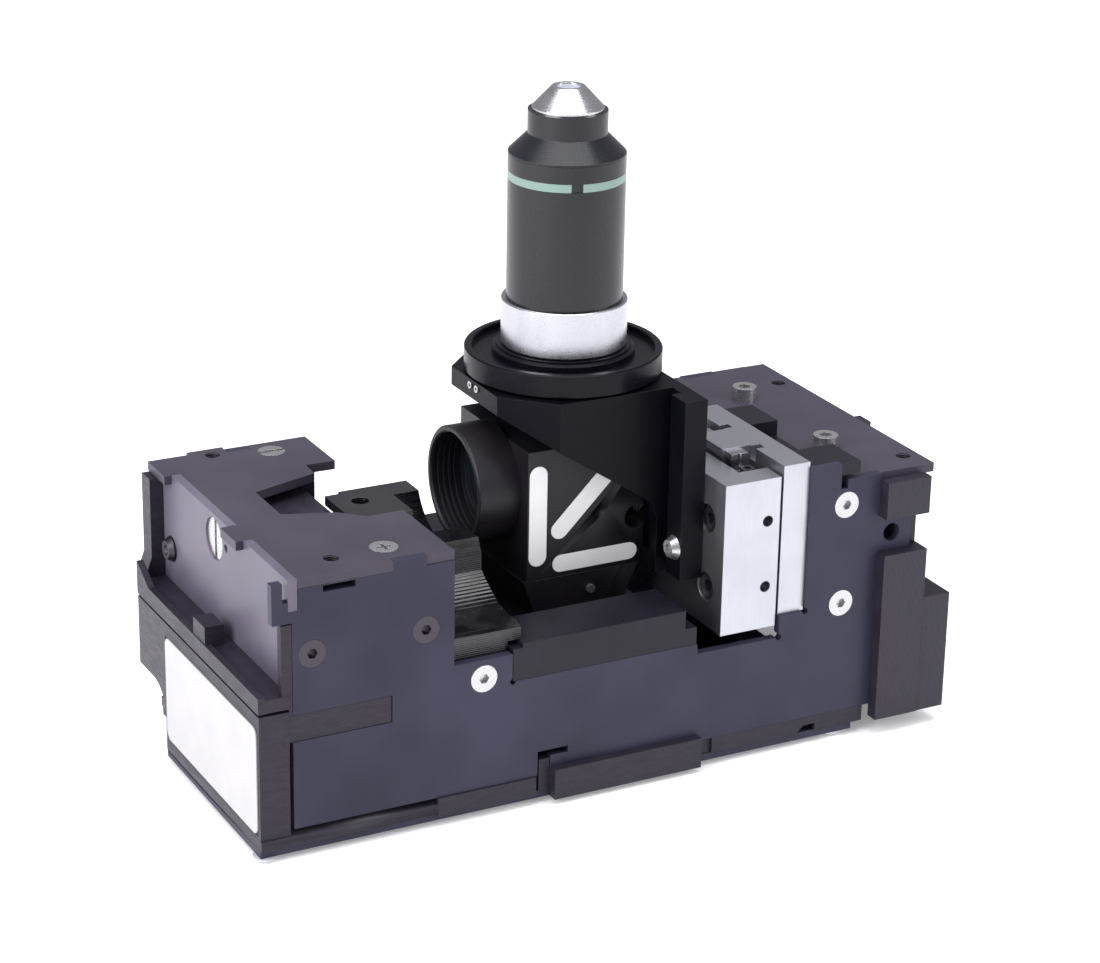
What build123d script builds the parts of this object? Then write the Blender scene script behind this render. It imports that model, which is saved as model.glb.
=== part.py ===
from build123d import *
import os

os.makedirs("parts", exist_ok=True)

# Compact inverted microscope, built without its outer case.
# Sizes are in millimetres and are first given in the drawing datum of the chassis:
# x runs along the front plate to the right, y away from the front plate's outer face,
# z up from its bottom edge. SHIFT then moves everything to the shared frame, whose
# origin lies on the table under the middle of the footprint.

# Outside limits in the drawing datum
LEFT_FACE = -5.9
RIGHT_FACE = 158.0
FRONT_FACE = -3.0
BACK_FACE = 75.8
TABLE = -6.5
LABEL_FACE = -5.2
SHIFT = Vector(-(LEFT_FACE + RIGHT_FACE) / 2, -(FRONT_FACE + BACK_FACE) / 2, -TABLE)

# Chassis
SHEET = 2.0                 # thickness of every chassis plate
FIT = 0.05                  # gap between plates that touch
DEPTH = 72.8                # outer face of the front plate to outer face of the back plate
TOP = 54.7                  # upper face of both top plates
DECK = TOP - SHEET          # underside of the top plates
LEFT_TOWER = 38.0           # right edge of the left tower
RIGHT_TOWER = 122.3         # left edge of the right tower
PLATE_END = 148.3           # right edge of the side plates
END_PLATE = 1.6             # outer face of the left end plate
SILL = 29.2                 # low edge of the side plates beside the left tower
BLOCK_SEAT = 23.0           # edge that carries the optics block
STAGE_GAP = 20.7            # edge below the travelling carriage
STAGE_SEAT = 25.6           # edge below the fixed half of the stage

# Screws
SCREW_HEAD = 6.0            # plate screws, countersunk head
SCREW_SHANK = 3.0
CLEARANCE_HOLE = 3.4
TAPPED_HOLE = 3.3           # free threaded holes in the top plates
SOCKET_HEAD = 5.5
SOCKET_HEIGHT = 3.0

# Optical axis of the objective and centre of the filter cube's light inlet
AXIS_X = 83.3
AXIS_Y = 40.4
INLET_Z = 51.3

# Focus stage
STAGE_FRONT = 0.9
STAGE_BACK = 40.2
STAGE_HEIGHT = 34.4
CARRIAGE_LEFT = 101.6
CARRIAGE_RIGHT = 115.2
FIXED_LEFT = 115.8
CARRIAGE_BOTTOM = 23.25     # the carriage rests 2.35 mm below the fixed half
CHANNEL_DEPTH = 7.0
RAIL_GAP = 1.2              # between the faces of a rail pair
ROLLER_R = 0.74
RUNNING = 0.01              # radial gap of the rollers in their grooves

# Bracket and objective
PLATE_TOP = 74.2
BRACKET_SHEET = 3.1
BACK_PLATE_X = 96.2
DISH_R = 21.4
DISH_TOP = 79.65
BASE_RING_R = 13.56
STUB_R = 11.1               # threaded end below the shoulder
COLLAR_R = 12.6             # collar of the dish in the bracket
CELL_R = 9.8
BARREL_R = 12.53
NOSE_R = 8.48
TIP_R = 7.66
TIP_END_R = 3.59


def front_face(y):
    """Drawing plane with local x, z; extrude(amount=-t) runs away from the viewer."""
    return Plane(origin=SHIFT + Vector(0, y, 0), x_dir=(1, 0, 0), z_dir=(0, -1, 0))


def top_face(z):
    """Drawing plane with local x, y; extrude(amount=t) runs up."""
    return Plane(origin=SHIFT + Vector(0, 0, z))


def side_face(x):
    """Drawing plane with local y, z; extrude(amount=t) runs to the right."""
    return Plane(origin=SHIFT + Vector(x, 0, 0), x_dir=(0, 1, 0), z_dir=(1, 0, 0))


def block(x0, x1, y0, y1, z0, z1, mode=Mode.ADD):
    """Rectangular block between two corners given in the drawing datum."""
    centre = SHIFT + Vector((x0 + x1) / 2, (y0 + y1) / 2, (z0 + z1) / 2)
    with Locations(Location(centre)):
        Box(x1 - x0, y1 - y0, z1 - z0, mode=mode)


def rod(along, start, radius, length, mode=Mode.ADD, end_radius=None):
    """Round bar or hole from a start point along +X, +Y or +Z, optionally tapering."""
    turn = {"x": (0, 90, 0), "y": (-90, 0, 0), "z": (0, 0, 0)}[along]
    with Locations(Location(SHIFT + Vector(*start), turn)):
        if end_radius is None:
            Cylinder(radius, length, align=(Align.CENTER, Align.CENTER, Align.MIN), mode=mode)
        else:
            Cone(radius, end_radius, length,
                 align=(Align.CENTER, Align.CENTER, Align.MIN), mode=mode)


def turned(profile, along="z", centre=(AXIS_X, AXIS_Y)):
    """Revolve a closed half section of (radius, height) points about a +Z or +X axis."""
    if along == "z":
        plane = Plane(origin=SHIFT + Vector(centre[0], centre[1], 0), x_dir=(1, 0, 0), z_dir=(0, -1, 0))
        axis = Axis(plane.origin, (0, 0, 1))
    else:
        plane = Plane(origin=SHIFT + Vector(0, centre[0], centre[1]), x_dir=(0, 1, 0), z_dir=(0, 0, -1))
        axis = Axis(plane.origin, (1, 0, 0))
    with BuildSketch(plane) as half_section:
        Polygon(*profile, align=None)
    revolve(half_section.sketch, axis=axis)


def hex_recess(plane, at, across, depth):
    """Hexagon socket cut into the screw face that lies on the plane."""
    with BuildSketch(plane, mode=Mode.PRIVATE) as socket:
        with Locations(at):
            RegularPolygon(across / 2, 6, major_radius=False)
    extrude(socket.sketch, amount=-depth, mode=Mode.SUBTRACT)


def rect(u0, u1, v0, v1, mode=Mode.ADD):
    """Rectangle between two corners of the current sketch."""
    with Locations(((u0 + u1) / 2, (v0 + v1) / 2)):
        Rectangle(u1 - u0, v1 - v0, mode=mode)


def save(builder, name):
    """Label the finished piece and write its file."""
    builder.part.label = name
    export_step(builder.part, "parts/" + name + ".step")


# Side plates. Both share one outline; the front one carries the slot, the ear and the notch.
FINGER_A = (24.5, 31.8)      # finger of the side plates through the left top plate
FINGER_B = (131.55, 140.0)   # finger of the side plates through the right top plate
FINGER_C = (17.7, 22.9)      # the back plate's left finger stands beside the tab
TOWER_SCREWS = [(6.7, 38.1), (31.7, 38.5)]
BASE_SCREWS = [(44.9, 25.0), (131.5, 48.8), (131.3, 25.9)]
GUARD_HOLE = (143.4, 40.5)
GUARD_HOLE_R = 2.05



def side_outline(left_finger):
    """Outline shared by the side plates; the left finger differs between them."""
    return [
        (2.4, 0), (PLATE_END, 0), (PLATE_END, DECK - FIT),
        (FINGER_B[1], DECK - FIT), (FINGER_B[1], TOP), (FINGER_B[0], TOP), (FINGER_B[0], DECK - FIT),
        (RIGHT_TOWER, DECK - FIT), (RIGHT_TOWER, STAGE_SEAT), (FIXED_LEFT, STAGE_SEAT),
        (FIXED_LEFT, STAGE_GAP), (95.7, STAGE_GAP), (95.4, BLOCK_SEAT), (51.4, BLOCK_SEAT),
        (51.4, SILL), (LEFT_TOWER, SILL), (LEFT_TOWER, DECK - FIT),
        (left_finger[1], DECK - FIT), (left_finger[1], TOP),
        (left_finger[0], TOP), (left_finger[0], DECK - FIT),
        (3.7, DECK - FIT), (3.7, 44.0), (2.4, 44.0),
    ]


with BuildPart() as front_side_plate:
    with BuildSketch(front_face(0)):
        Polygon(*side_outline(FINGER_A), align=None)
        # ear that hooks round the end plate
        Polygon((-1.7, 45.8), (3.9, 44.9), (3.9, 52.0), (1.4, 52.0), (1.4, DECK - FIT), (-1.7, DECK - FIT),
                align=None)
        # slot below the top plate
        rect(9.1, 16.2, 51.0, 52.4, mode=Mode.SUBTRACT)
        # notch and slot over the base blocks
        rect(57.6, 60.6, 0, 5.6, mode=Mode.SUBTRACT)
        rect(60.5, 64.8, 4.2, 5.6, mode=Mode.SUBTRACT)
        # corner reliefs left by the cutter
        with Locations((51.6, BLOCK_SEAT), (FIXED_LEFT, STAGE_GAP), (RIGHT_TOWER, STAGE_SEAT)):
            Circle(0.7, mode=Mode.SUBTRACT)
        with Locations(*TOWER_SCREWS, *BASE_SCREWS):
            Circle(CLEARANCE_HOLE / 2, mode=Mode.SUBTRACT)
        with Locations(GUARD_HOLE):
            Circle(GUARD_HOLE_R, mode=Mode.SUBTRACT)
    extrude(amount=-SHEET)
    # countersinks
    for sx, sz in TOWER_SCREWS + BASE_SCREWS:
        rod("y", (sx, 0, sz), SCREW_HEAD / 2 + FIT, 1.4, Mode.SUBTRACT, end_radius=SCREW_SHANK / 2 + 0.2)
save(front_side_plate, "front_side_plate")

with BuildPart() as back_side_plate:
    with BuildSketch(front_face(DEPTH - SHEET)):
        Polygon(*side_outline(FINGER_C), align=None)
        with Locations(*TOWER_SCREWS, *BASE_SCREWS):
            Circle(CLEARANCE_HOLE / 2, mode=Mode.SUBTRACT)
    extrude(amount=-SHEET)
    for sx, sz in TOWER_SCREWS + BASE_SCREWS:
        rod("y", (sx, DEPTH - 1.4, sz), SCREW_SHANK / 2 + 0.2, 1.4, Mode.SUBTRACT,
            end_radius=SCREW_HEAD / 2 + FIT)
save(back_side_plate, "back_side_plate")

# Left end plate with its two top fingers and the hole for the coin adjuster
ADJUSTER_Y = 38.9
ADJUSTER_Z = 49.2
ADJUSTER_HOLE_R = 4.6
END_SCREWS = [(63.8, 37.5), (9.0, 37.5)]
with BuildPart() as left_end_plate:
    with BuildSketch(side_face(END_PLATE)):
        rect(SHEET + FIT, DEPTH - SHEET - FIT, 0, DECK - FIT)
        rect(SHEET + FIT, 22.8, DECK - FIT - 1, TOP)
        rect(31.3, 62.8, DECK - FIT - 1, TOP)
        with Locations((ADJUSTER_Y, ADJUSTER_Z)):
            Circle(ADJUSTER_HOLE_R, mode=Mode.SUBTRACT)
        with Locations((32.4, 49.4)):
            Circle(0.9, mode=Mode.SUBTRACT)
        with Locations((9.5, 44.5)):
            Ellipse(1.0, 1.2, mode=Mode.SUBTRACT)
        with Locations(*END_SCREWS):
            Circle(CLEARANCE_HOLE / 2, mode=Mode.SUBTRACT)
    extrude(amount=SHEET)
save(left_end_plate, "left_end_plate")

with BuildPart() as right_end_plate:
    with BuildSketch(side_face(PLATE_END - SHEET)):
        rect(SHEET + FIT, DEPTH - SHEET - FIT, 0, DECK - FIT)
    extrude(amount=SHEET)
save(right_end_plate, "right_end_plate")

# Top plates
LEFT_TAPPED = [(14.0, 70.5), (14.0, 7.1)]
RIGHT_TAPPED = [(150.1, 59.2), (150.1, 7.0)]
LEFT_TOP_SCREWS = [(26.5, 67.6), (26.0, 8.1)]
SOCKET_SCREWS = [(137.4, 53.4), (137.4, 18.7)]
FINGER_EDGE = END_PLATE + SHEET + FIT

with BuildPart() as left_top_plate:
    with BuildSketch(top_face(DECK)):
        Polygon(
            (FINGER_EDGE, 0), (FINGER_A[0] - FIT, 0), (FINGER_A[0] - FIT, SHEET + FIT),
            (FINGER_A[1] + FIT, SHEET + FIT), (FINGER_A[1] + FIT, 0.2), (LEFT_TOWER, 0.2),
            (LEFT_TOWER, 24.3), (29.8, 24.3), (24.8, 29.0), (14.0, 32.8), (14.0, 46.4),
            (29.6, 51.4), (29.8, 56.6), (36.6, 56.4), (36.6, DEPTH),
            (FINGER_C[1] + FIT, DEPTH), (FINGER_C[1] + FIT, DEPTH - SHEET - FIT),
            (17.6, DEPTH - SHEET - FIT), (17.6, 74.2), (9.4, 74.2), (9.4, DEPTH), (0, DEPTH), (0, 62.9),
            (FINGER_EDGE, 62.9), (FINGER_EDGE, 31.2), (0, 31.2), (0, 22.9), (FINGER_EDGE, 22.9),
            align=None)
        with Locations(*LEFT_TAPPED):
            Circle(TAPPED_HOLE / 2, mode=Mode.SUBTRACT)
        with Locations(*LEFT_TOP_SCREWS):
            Circle(CLEARANCE_HOLE / 2, mode=Mode.SUBTRACT)
    extrude(amount=SHEET)
    for sx, sy in LEFT_TOP_SCREWS:
        rod("z", (sx, sy, TOP - 1.4), SCREW_SHANK / 2 + 0.2, 1.4, Mode.SUBTRACT,
            end_radius=SCREW_HEAD / 2 + FIT)
save(left_top_plate, "left_top_plate")

MOUNT_RIGHT = 131.3          # right edge of the stage mount
with BuildPart() as right_top_plate:
    with BuildSketch(top_face(DECK)):
        Polygon(
            (FINGER_B[1] + FIT, 0.6), (153.9, 0.6), (153.9, 72.2), (FINGER_B[1] + FIT, 72.2),
            (FINGER_B[1] + FIT, DEPTH - SHEET - FIT), (FINGER_B[0] - FIT, DEPTH - SHEET - FIT),
            (FINGER_B[0] - FIT, 72.2), (RIGHT_TOWER + 0.2, 72.2), (RIGHT_TOWER + 0.2, STAGE_BACK + 0.1),
            (MOUNT_RIGHT + FIT, STAGE_BACK + 0.1), (MOUNT_RIGHT + FIT, SHEET + FIT),
            (FINGER_B[1] + FIT, SHEET + FIT), align=None)
        with Locations(*RIGHT_TAPPED):
            Circle(TAPPED_HOLE / 2, mode=Mode.SUBTRACT)
        with Locations(*SOCKET_SCREWS):
            Circle(CLEARANCE_HOLE / 2, mode=Mode.SUBTRACT)
    extrude(amount=SHEET)
save(right_top_plate, "right_top_plate")

# Base plate and the printed base pieces that clip round its edge
BASE_TOP = -3.7
BASE_SHEET = 1.7
with BuildPart() as base_plate:
    with BuildSketch(top_face(BASE_TOP - BASE_SHEET)):
        rect(-4.9, 136.0, 0.5, DEPTH - 0.5)
    extrude(amount=BASE_SHEET)
save(base_plate, "base_plate")

with BuildPart() as left_base_block:
    block(-5.0, 34.4, -0.3, DEPTH + 0.3, BASE_TOP + FIT, -1.4)
    block(34.4, 57.2, -0.4, DEPTH + 0.4, BASE_TOP + FIT, -FIT)
    block(34.4, 57.2, -0.4, 0.4, BASE_TOP - 0.6, BASE_TOP + 1)
save(left_base_block, "left_base_block")

MIDDLE_LEFT = 60.8
MIDDLE_RIGHT = 96.3
with BuildPart() as middle_base_block:
    block(MIDDLE_LEFT, MIDDLE_RIGHT, -2.0, -FIT, -5.4, 1.5)
    block(MIDDLE_LEFT, MIDDLE_RIGHT, -2.0, DEPTH - 2.5, BASE_TOP + FIT, -FIT)
    block(MIDDLE_LEFT, MIDDLE_RIGHT, -2.0, 0.4, -5.4, -FIT)
    # tongue seen in the notch of the front plate
    block(58.0, MIDDLE_LEFT + 0.1, 0.2, 12.0, BASE_TOP + FIT, -FIT)
    block(58.0, 60.5, 0.2, 12.0, -1.0, 3.6)
    block(58.0, 66.0, SHEET + 0.1, 12.0, -1.0, 3.6)
save(middle_base_block, "middle_base_block")

with BuildPart() as right_base_strip:
    block(96.6, 100.0, 0.6, DEPTH - 0.6, BASE_TOP + FIT, -FIT)
    block(100.0, 138.4, 0.0, DEPTH, BASE_TOP + FIT, -FIT)
    # notch in the lower edge
    with BuildSketch(front_face(-1)):
        Polygon((121.6, BASE_TOP), (123.2, -1.9), (126.2, -1.9), (126.2, BASE_TOP), align=None)
    extrude(amount=-3.0, mode=Mode.SUBTRACT)
save(right_base_strip, "right_base_strip")

# Cross bars and blocks that tie the chassis plates and take their screws
BAR = 7.0
BAR_CENTRES = [(7.3, 37.8), (31.7, 38.5), (44.9, 24.6), (131.5, 48.6), (131.3, 25.9)]
with BuildPart() as cross_bars:
    for bx, bz in BAR_CENTRES:
        left = bx - BAR / 2
        if bx > 130 and bz > 40:
            left = MOUNT_RIGHT + 0.4 - 3.6
        block(left, left + BAR, SHEET + FIT, DEPTH - SHEET - FIT, bz - BAR / 2, bz + BAR / 2)
    for sx, sz in TOWER_SCREWS + BASE_SCREWS:
        for start in (0.5, DEPTH - 10.5):
            rod("y", (sx, start, sz), SCREW_SHANK / 2 + FIT, 10.0, Mode.SUBTRACT)
    for sy, sz in END_SCREWS:
        rod("x", (3.0, sy, sz), SCREW_SHANK / 2 + FIT, 7.0, Mode.SUBTRACT)
    # short blocks under the screws of the top plates
    for sx, sy in LEFT_TOP_SCREWS:
        y0 = SHEET + FIT if sy < 20 else DEPTH - SHEET - FIT - 9.0
        block(sx - 4.5, sx + 4.5, y0, y0 + 9.0, 44.0, DECK - FIT)
        rod("z", (sx, sy, 46.0), SCREW_SHANK / 2 + FIT, 10.0, Mode.SUBTRACT)
    for sx, sy in SOCKET_SCREWS:
        block(sx - 2.2, sx + 4.5, sy - 4.5, sy + 4.5, 44.0, DECK - FIT)
        rod("z", (sx, sy, 46.0), SCREW_SHANK / 2 + FIT, 10.0, Mode.SUBTRACT)
save(cross_bars, "cross_bars")

# Screws. Heads sit flush in their countersinks and are cut with a hexagon or a slot.
HEX_ACROSS = 2.0
with BuildPart() as black_plate_screws:
    for sx, sz in TOWER_SCREWS:
        rod("y", (sx, 0, sz), SCREW_HEAD / 2, 1.35, end_radius=SCREW_SHANK / 2)
        rod("y", (sx, 1.3, sz), SCREW_SHANK / 2, 7.0)
        hex_recess(front_face(0), (sx, sz), HEX_ACROSS, 1.0)
        rod("y", (sx, DEPTH - 1.35, sz), SCREW_SHANK / 2, 1.35, end_radius=SCREW_HEAD / 2)
        rod("y", (sx, DEPTH - 8.3, sz), SCREW_SHANK / 2, 7.0)
    for sy, sz in END_SCREWS:
        # button heads standing on the end plate
        rod("x", (END_PLATE - 1.5, sy, sz), 2.0, 1.45, end_radius=2.9)
        rod("x", (END_PLATE - 0.1, sy, sz), SCREW_SHANK / 2, 6.5)
        hex_recess(side_face(END_PLATE - 1.5 + 0.9), (sy, sz), HEX_ACROSS, 0.95)
save(black_plate_screws, "black_plate_screws")

with BuildPart() as silver_plate_screws:
    for sx, sz in BASE_SCREWS:
        rod("y", (sx, 0, sz), SCREW_HEAD / 2, 1.35, end_radius=SCREW_SHANK / 2)
        rod("y", (sx, 1.3, sz), SCREW_SHANK / 2, 7.0)
        hex_recess(front_face(0), (sx, sz), HEX_ACROSS, 1.0)
        rod("y", (sx, DEPTH - 1.35, sz), SCREW_SHANK / 2, 1.35, end_radius=SCREW_HEAD / 2)
        rod("y", (sx, DEPTH - 8.3, sz), SCREW_SHANK / 2, 7.0)
save(silver_plate_screws, "silver_plate_screws")

with BuildPart() as top_plate_screws:
    for sx, sy in LEFT_TOP_SCREWS:
        rod("z", (sx, sy, TOP - 1.35), SCREW_SHANK / 2, 1.35, end_radius=SCREW_HEAD / 2)
        rod("z", (sx, sy, TOP - 8.0), SCREW_SHANK / 2, 6.7)
    back_x, back_y = LEFT_TOP_SCREWS[0]
    block(back_x - 4, back_x + 4, back_y - 0.4, back_y + 0.4, TOP - 0.7, TOP + 1, mode=Mode.SUBTRACT)
    front_x, front_y = LEFT_TOP_SCREWS[1]
    block(front_x - 1.6, front_x + 1.6, front_y - 0.3, front_y + 0.3, TOP - 0.9, TOP + 1, mode=Mode.SUBTRACT)
    block(front_x - 0.3, front_x + 0.3, front_y - 1.6, front_y + 1.6, TOP - 0.9, TOP + 1, mode=Mode.SUBTRACT)
save(top_plate_screws, "top_plate_screws")

with BuildPart() as socket_top_screws:
    for sx, sy in SOCKET_SCREWS:
        rod("z", (sx, sy, TOP), SOCKET_HEAD / 2, SOCKET_HEIGHT)
        rod("z", (sx, sy, TOP - 7.0), SCREW_SHANK / 2, 7.0)
        hex_recess(top_face(TOP + SOCKET_HEIGHT), (sx, sy), 2.5, 1.6)
save(socket_top_screws, "socket_top_screws")

# Printed cover of the left end, with an arc cut away at the back
COVER_LEFT = -5.0
COVER_TOP = 26.3
COVER_BACK = 67.8
with BuildPart() as left_end_cover:
    with BuildSketch(side_face(COVER_LEFT)):
        with BuildLine():
            Polyline((0, BASE_TOP + FIT), (0, COVER_TOP), (COVER_BACK, COVER_TOP), (COVER_BACK, 10.5),
                     (59.5, 10.5))
            ThreePointArc((59.5, 10.5), (54.5, 8.5), (52.4, 3.5))
            Polyline((52.4, 3.5), (52.4, BASE_TOP + FIT), (0, BASE_TOP + FIT))
        make_face()
    extrude(amount=END_PLATE - FIT - COVER_LEFT)
    # clearance over the base block and the seat of the label
    block(COVER_LEFT - 1, END_PLATE + 1, -1, DEPTH, BASE_TOP - 1, -1.35, mode=Mode.SUBTRACT)
    block(COVER_LEFT - 1, COVER_LEFT + 0.1, 1.2, 51.6, -0.6, 23.4, mode=Mode.SUBTRACT)
save(left_end_cover, "left_end_cover")

with BuildPart() as label_plate:
    with BuildSketch(side_face(LABEL_FACE)):
        with Locations((26.4, 11.4)):
            RectangleRounded(50.2, 23.8, 2.0)
    extrude(amount=0.29)
save(label_plate, "label_plate")

# Printed frame above the cover: rim, lug, back post, front post and the tongue on the front plate
RIM_BOTTOM = 26.9
RIM_TOP = 30.4
with BuildPart() as left_cover_frame:
    block(COVER_LEFT - 0.1, END_PLATE - FIT, 0.0, COVER_BACK, RIM_BOTTOM, RIM_TOP)
    block(COVER_LEFT + 1.5, END_PLATE - FIT, 1.5, COVER_BACK - 1.5, RIM_TOP - 0.5, RIM_TOP + 1,
          mode=Mode.SUBTRACT)
    block(COVER_LEFT, -0.7, 28.6, 35.0, RIM_TOP - 0.6, 34.4)
    block(-1.5, END_PLATE - FIT, 62.0, DEPTH, RIM_BOTTOM, RIM_TOP)
    block(-1.5, END_PLATE - FIT, 69.3, DEPTH, RIM_BOTTOM, 51.4)
    block(-0.4, END_PLATE - FIT, 0.0, 2.6, RIM_TOP - 1, 44.8)
    block(-0.4, 3.4, -1.0, -0.02, 19.6, RIM_TOP)
    block(-0.4, END_PLATE - FIT, -1.0, 0.5, RIM_BOTTOM, RIM_TOP)
    block(0.6, 24.0, -1.0, -0.02, 19.6, 25.2)
save(left_cover_frame, "left_cover_frame")

# Printed cover of the right end, wrapped round both vertical corners
GUARD_LEFT = 140.0
GUARD_RIGHT = 151.0
PANEL = PLATE_END + FIT
with BuildPart() as right_end_cover:
    block(PANEL, GUARD_RIGHT, 0.1, DEPTH - 0.1, -2.8, DECK - 0.1)
    for y0, y1 in ((FRONT_FACE, -FIT), (DEPTH + FIT, BACK_FACE)):
        block(GUARD_LEFT, GUARD_RIGHT, y0, y1, 44.8, 53.3)
        block(GUARD_LEFT, GUARD_RIGHT, y0, y1, -2.8, 36.4)
    for y0, y1 in ((-1.0, 2.0), (DEPTH - 2.0, DEPTH + 1.0)):
        block(PANEL, GUARD_RIGHT, y0, y1, 44.8, DECK - 0.1)
        block(PANEL, GUARD_RIGHT, y0, y1, -2.8, 36.4)
    # window beside the guard hole
    block(PANEL - 1, GUARD_RIGHT + 1, -4.0, 1.9, 36.4, 44.8, mode=Mode.SUBTRACT)
    # lower box for the plug
    block(GUARD_RIGHT - 1, RIGHT_FACE, FRONT_FACE + 0.3, BACK_FACE - 0.3, -2.8, 24.6)
    # small hook beside the top plate
    block(GUARD_RIGHT - 1, 156.4, 29.5, 34.0, 49.0, DECK - 0.1)
    block(153.95, 156.4, 29.5, 34.0, 49.0, TOP - 0.6)
save(right_end_cover, "right_end_cover")

# Clear rubber feet under the base
FOOT_R = 2.5
FOOT_PLACES = [(-3.4, 2.0), (-3.4, DEPTH - 2.0), (132.0, 2.6), (132.0, DEPTH - 2.6)]
FOOT_TOP = BASE_TOP - BASE_SHEET
with BuildPart() as rubber_feet:
    for fx, fy in FOOT_PLACES:
        rod("z", (fx, fy, TABLE), FOOT_R - 0.8, FOOT_TOP - TABLE, end_radius=FOOT_R)
save(rubber_feet, "rubber_feet")

# Coin adjuster in the end plate
with BuildPart() as adjuster_disc:
    rod("x", (END_PLATE + 0.4, ADJUSTER_Y, ADJUSTER_Z), ADJUSTER_HOLE_R - 0.06, SHEET - 0.5)
    rod("x", (END_PLATE + 1.5, ADJUSTER_Y, ADJUSTER_Z), 3.2, 6.0)
    block(END_PLATE - 0.5, END_PLATE + 1.1, ADJUSTER_Y - 0.6, ADJUSTER_Y + 0.6, ADJUSTER_Z - 5,
          ADJUSTER_Z + 5, mode=Mode.SUBTRACT)
save(adjuster_disc, "adjuster_disc")

with BuildPart() as adjuster_bush:
    rod("x", (FINGER_EDGE + 0.1, ADJUSTER_Y, ADJUSTER_Z - 1.4), 4.8, 5.0)
    block(FINGER_EDGE + 0.1, FINGER_EDGE + 5.1, ADJUSTER_Y - 6, ADJUSTER_Y + 6, ADJUSTER_Z - 7.5,
          DECK - FIT)
    rod("x", (FINGER_EDGE - 1, ADJUSTER_Y, ADJUSTER_Z), 3.26, 8.0, Mode.SUBTRACT)
    block(FINGER_EDGE - 1, FINGER_EDGE + 7, ADJUSTER_Y - 8, ADJUSTER_Y + 8, DECK - FIT, TOP + 1,
          mode=Mode.SUBTRACT)
save(adjuster_bush, "adjuster_bush")

# Stage mount: a plate behind the front plate with two raised arms over the top plate
ARM_TOP = 58.5
with BuildPart() as stage_mount:
    block(RIGHT_TOWER + FIT, 126.0, SHEET + 0.2, STAGE_BACK, 20.0, TOP)
    block(RIGHT_TOWER + FIT, MOUNT_RIGHT, SHEET + 0.2, STAGE_BACK, DECK, TOP)
    block(RIGHT_TOWER + 0.2, MOUNT_RIGHT, 0.7, 11.4, DECK + 0.1, ARM_TOP)
    block(RIGHT_TOWER + 0.2, MOUNT_RIGHT, 29.0, STAGE_BACK, DECK, ARM_TOP)
    block(MOUNT_RIGHT, 134.5, 0.7, 3.2, ARM_TOP - 0.8, ARM_TOP)
    # room for the lower cross bar
    block(125.0, 128.0, 0, DEPTH, 22.0, 30.0, mode=Mode.SUBTRACT)
save(stage_mount, "stage_mount")

# Focus stage: crossed roller slide. The fixed half reaches into a channel of the carriage.
CHANNEL_X = CARRIAGE_RIGHT - CHANNEL_DEPTH
CHANNEL_FRONT = 6.9
CHANNEL_BACK = 34.2
RIB_FRONT = 15.2
RIB_BACK = 25.9
RAIL_WIDTH = 4.1
RAIL_X0 = 109.6
RAIL_X1 = 113.6
RAIL_X = (RAIL_X0 + RAIL_X1) / 2
FRONT_ROLLER_Y = CHANNEL_FRONT + RAIL_WIDTH + RAIL_GAP / 2
BACK_ROLLER_Y = CHANNEL_BACK - RAIL_WIDTH - RAIL_GAP / 2
GROOVE = (ROLLER_R + RUNNING) * 2 ** 0.5     # half diagonal of the square groove
CARRIAGE_TOP = CARRIAGE_BOTTOM + STAGE_HEIGHT
FIXED_TOP = STAGE_SEAT + STAGE_HEIGHT - 0.1
FIXED_BOTTOM = STAGE_SEAT + FIT

with BuildPart() as stage_fixed_block:
    block(FIXED_LEFT, RIGHT_TOWER - FIT, STAGE_FRONT, STAGE_BACK, FIXED_BOTTOM, FIXED_TOP)
    block(109.0, FIXED_LEFT + 0.1, RIB_FRONT + 0.02, RIB_BACK - 0.02, FIXED_BOTTOM, FIXED_TOP)
    # bevelled pockets at the upper edge, and the counterbores of the two fixing screws
    for y0 in (12.6, 26.2):
        block(FIXED_LEFT - 1, 118.0, y0, y0 + 2.2, FIXED_TOP - 3.0, FIXED_TOP + 1, mode=Mode.SUBTRACT)
save(stage_fixed_block, "stage_fixed_block")

with BuildPart() as fixed_rails:
    for y0, y1 in ((FRONT_ROLLER_Y + RAIL_GAP / 2, RIB_FRONT), (RIB_BACK, BACK_ROLLER_Y - RAIL_GAP / 2)):
        block(RAIL_X0, RAIL_X1, y0, y1, FIXED_BOTTOM + 0.4, FIXED_TOP - 0.4)
    with BuildSketch(top_face(FIXED_BOTTOM)):
        for yc in (FRONT_ROLLER_Y, BACK_ROLLER_Y):
            with Locations((RAIL_X, yc)):
                Rectangle(GROOVE * 2 ** 0.5, GROOVE * 2 ** 0.5, rotation=45)
    extrude(amount=STAGE_HEIGHT, mode=Mode.SUBTRACT)
save(fixed_rails, "fixed_rails")

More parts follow.
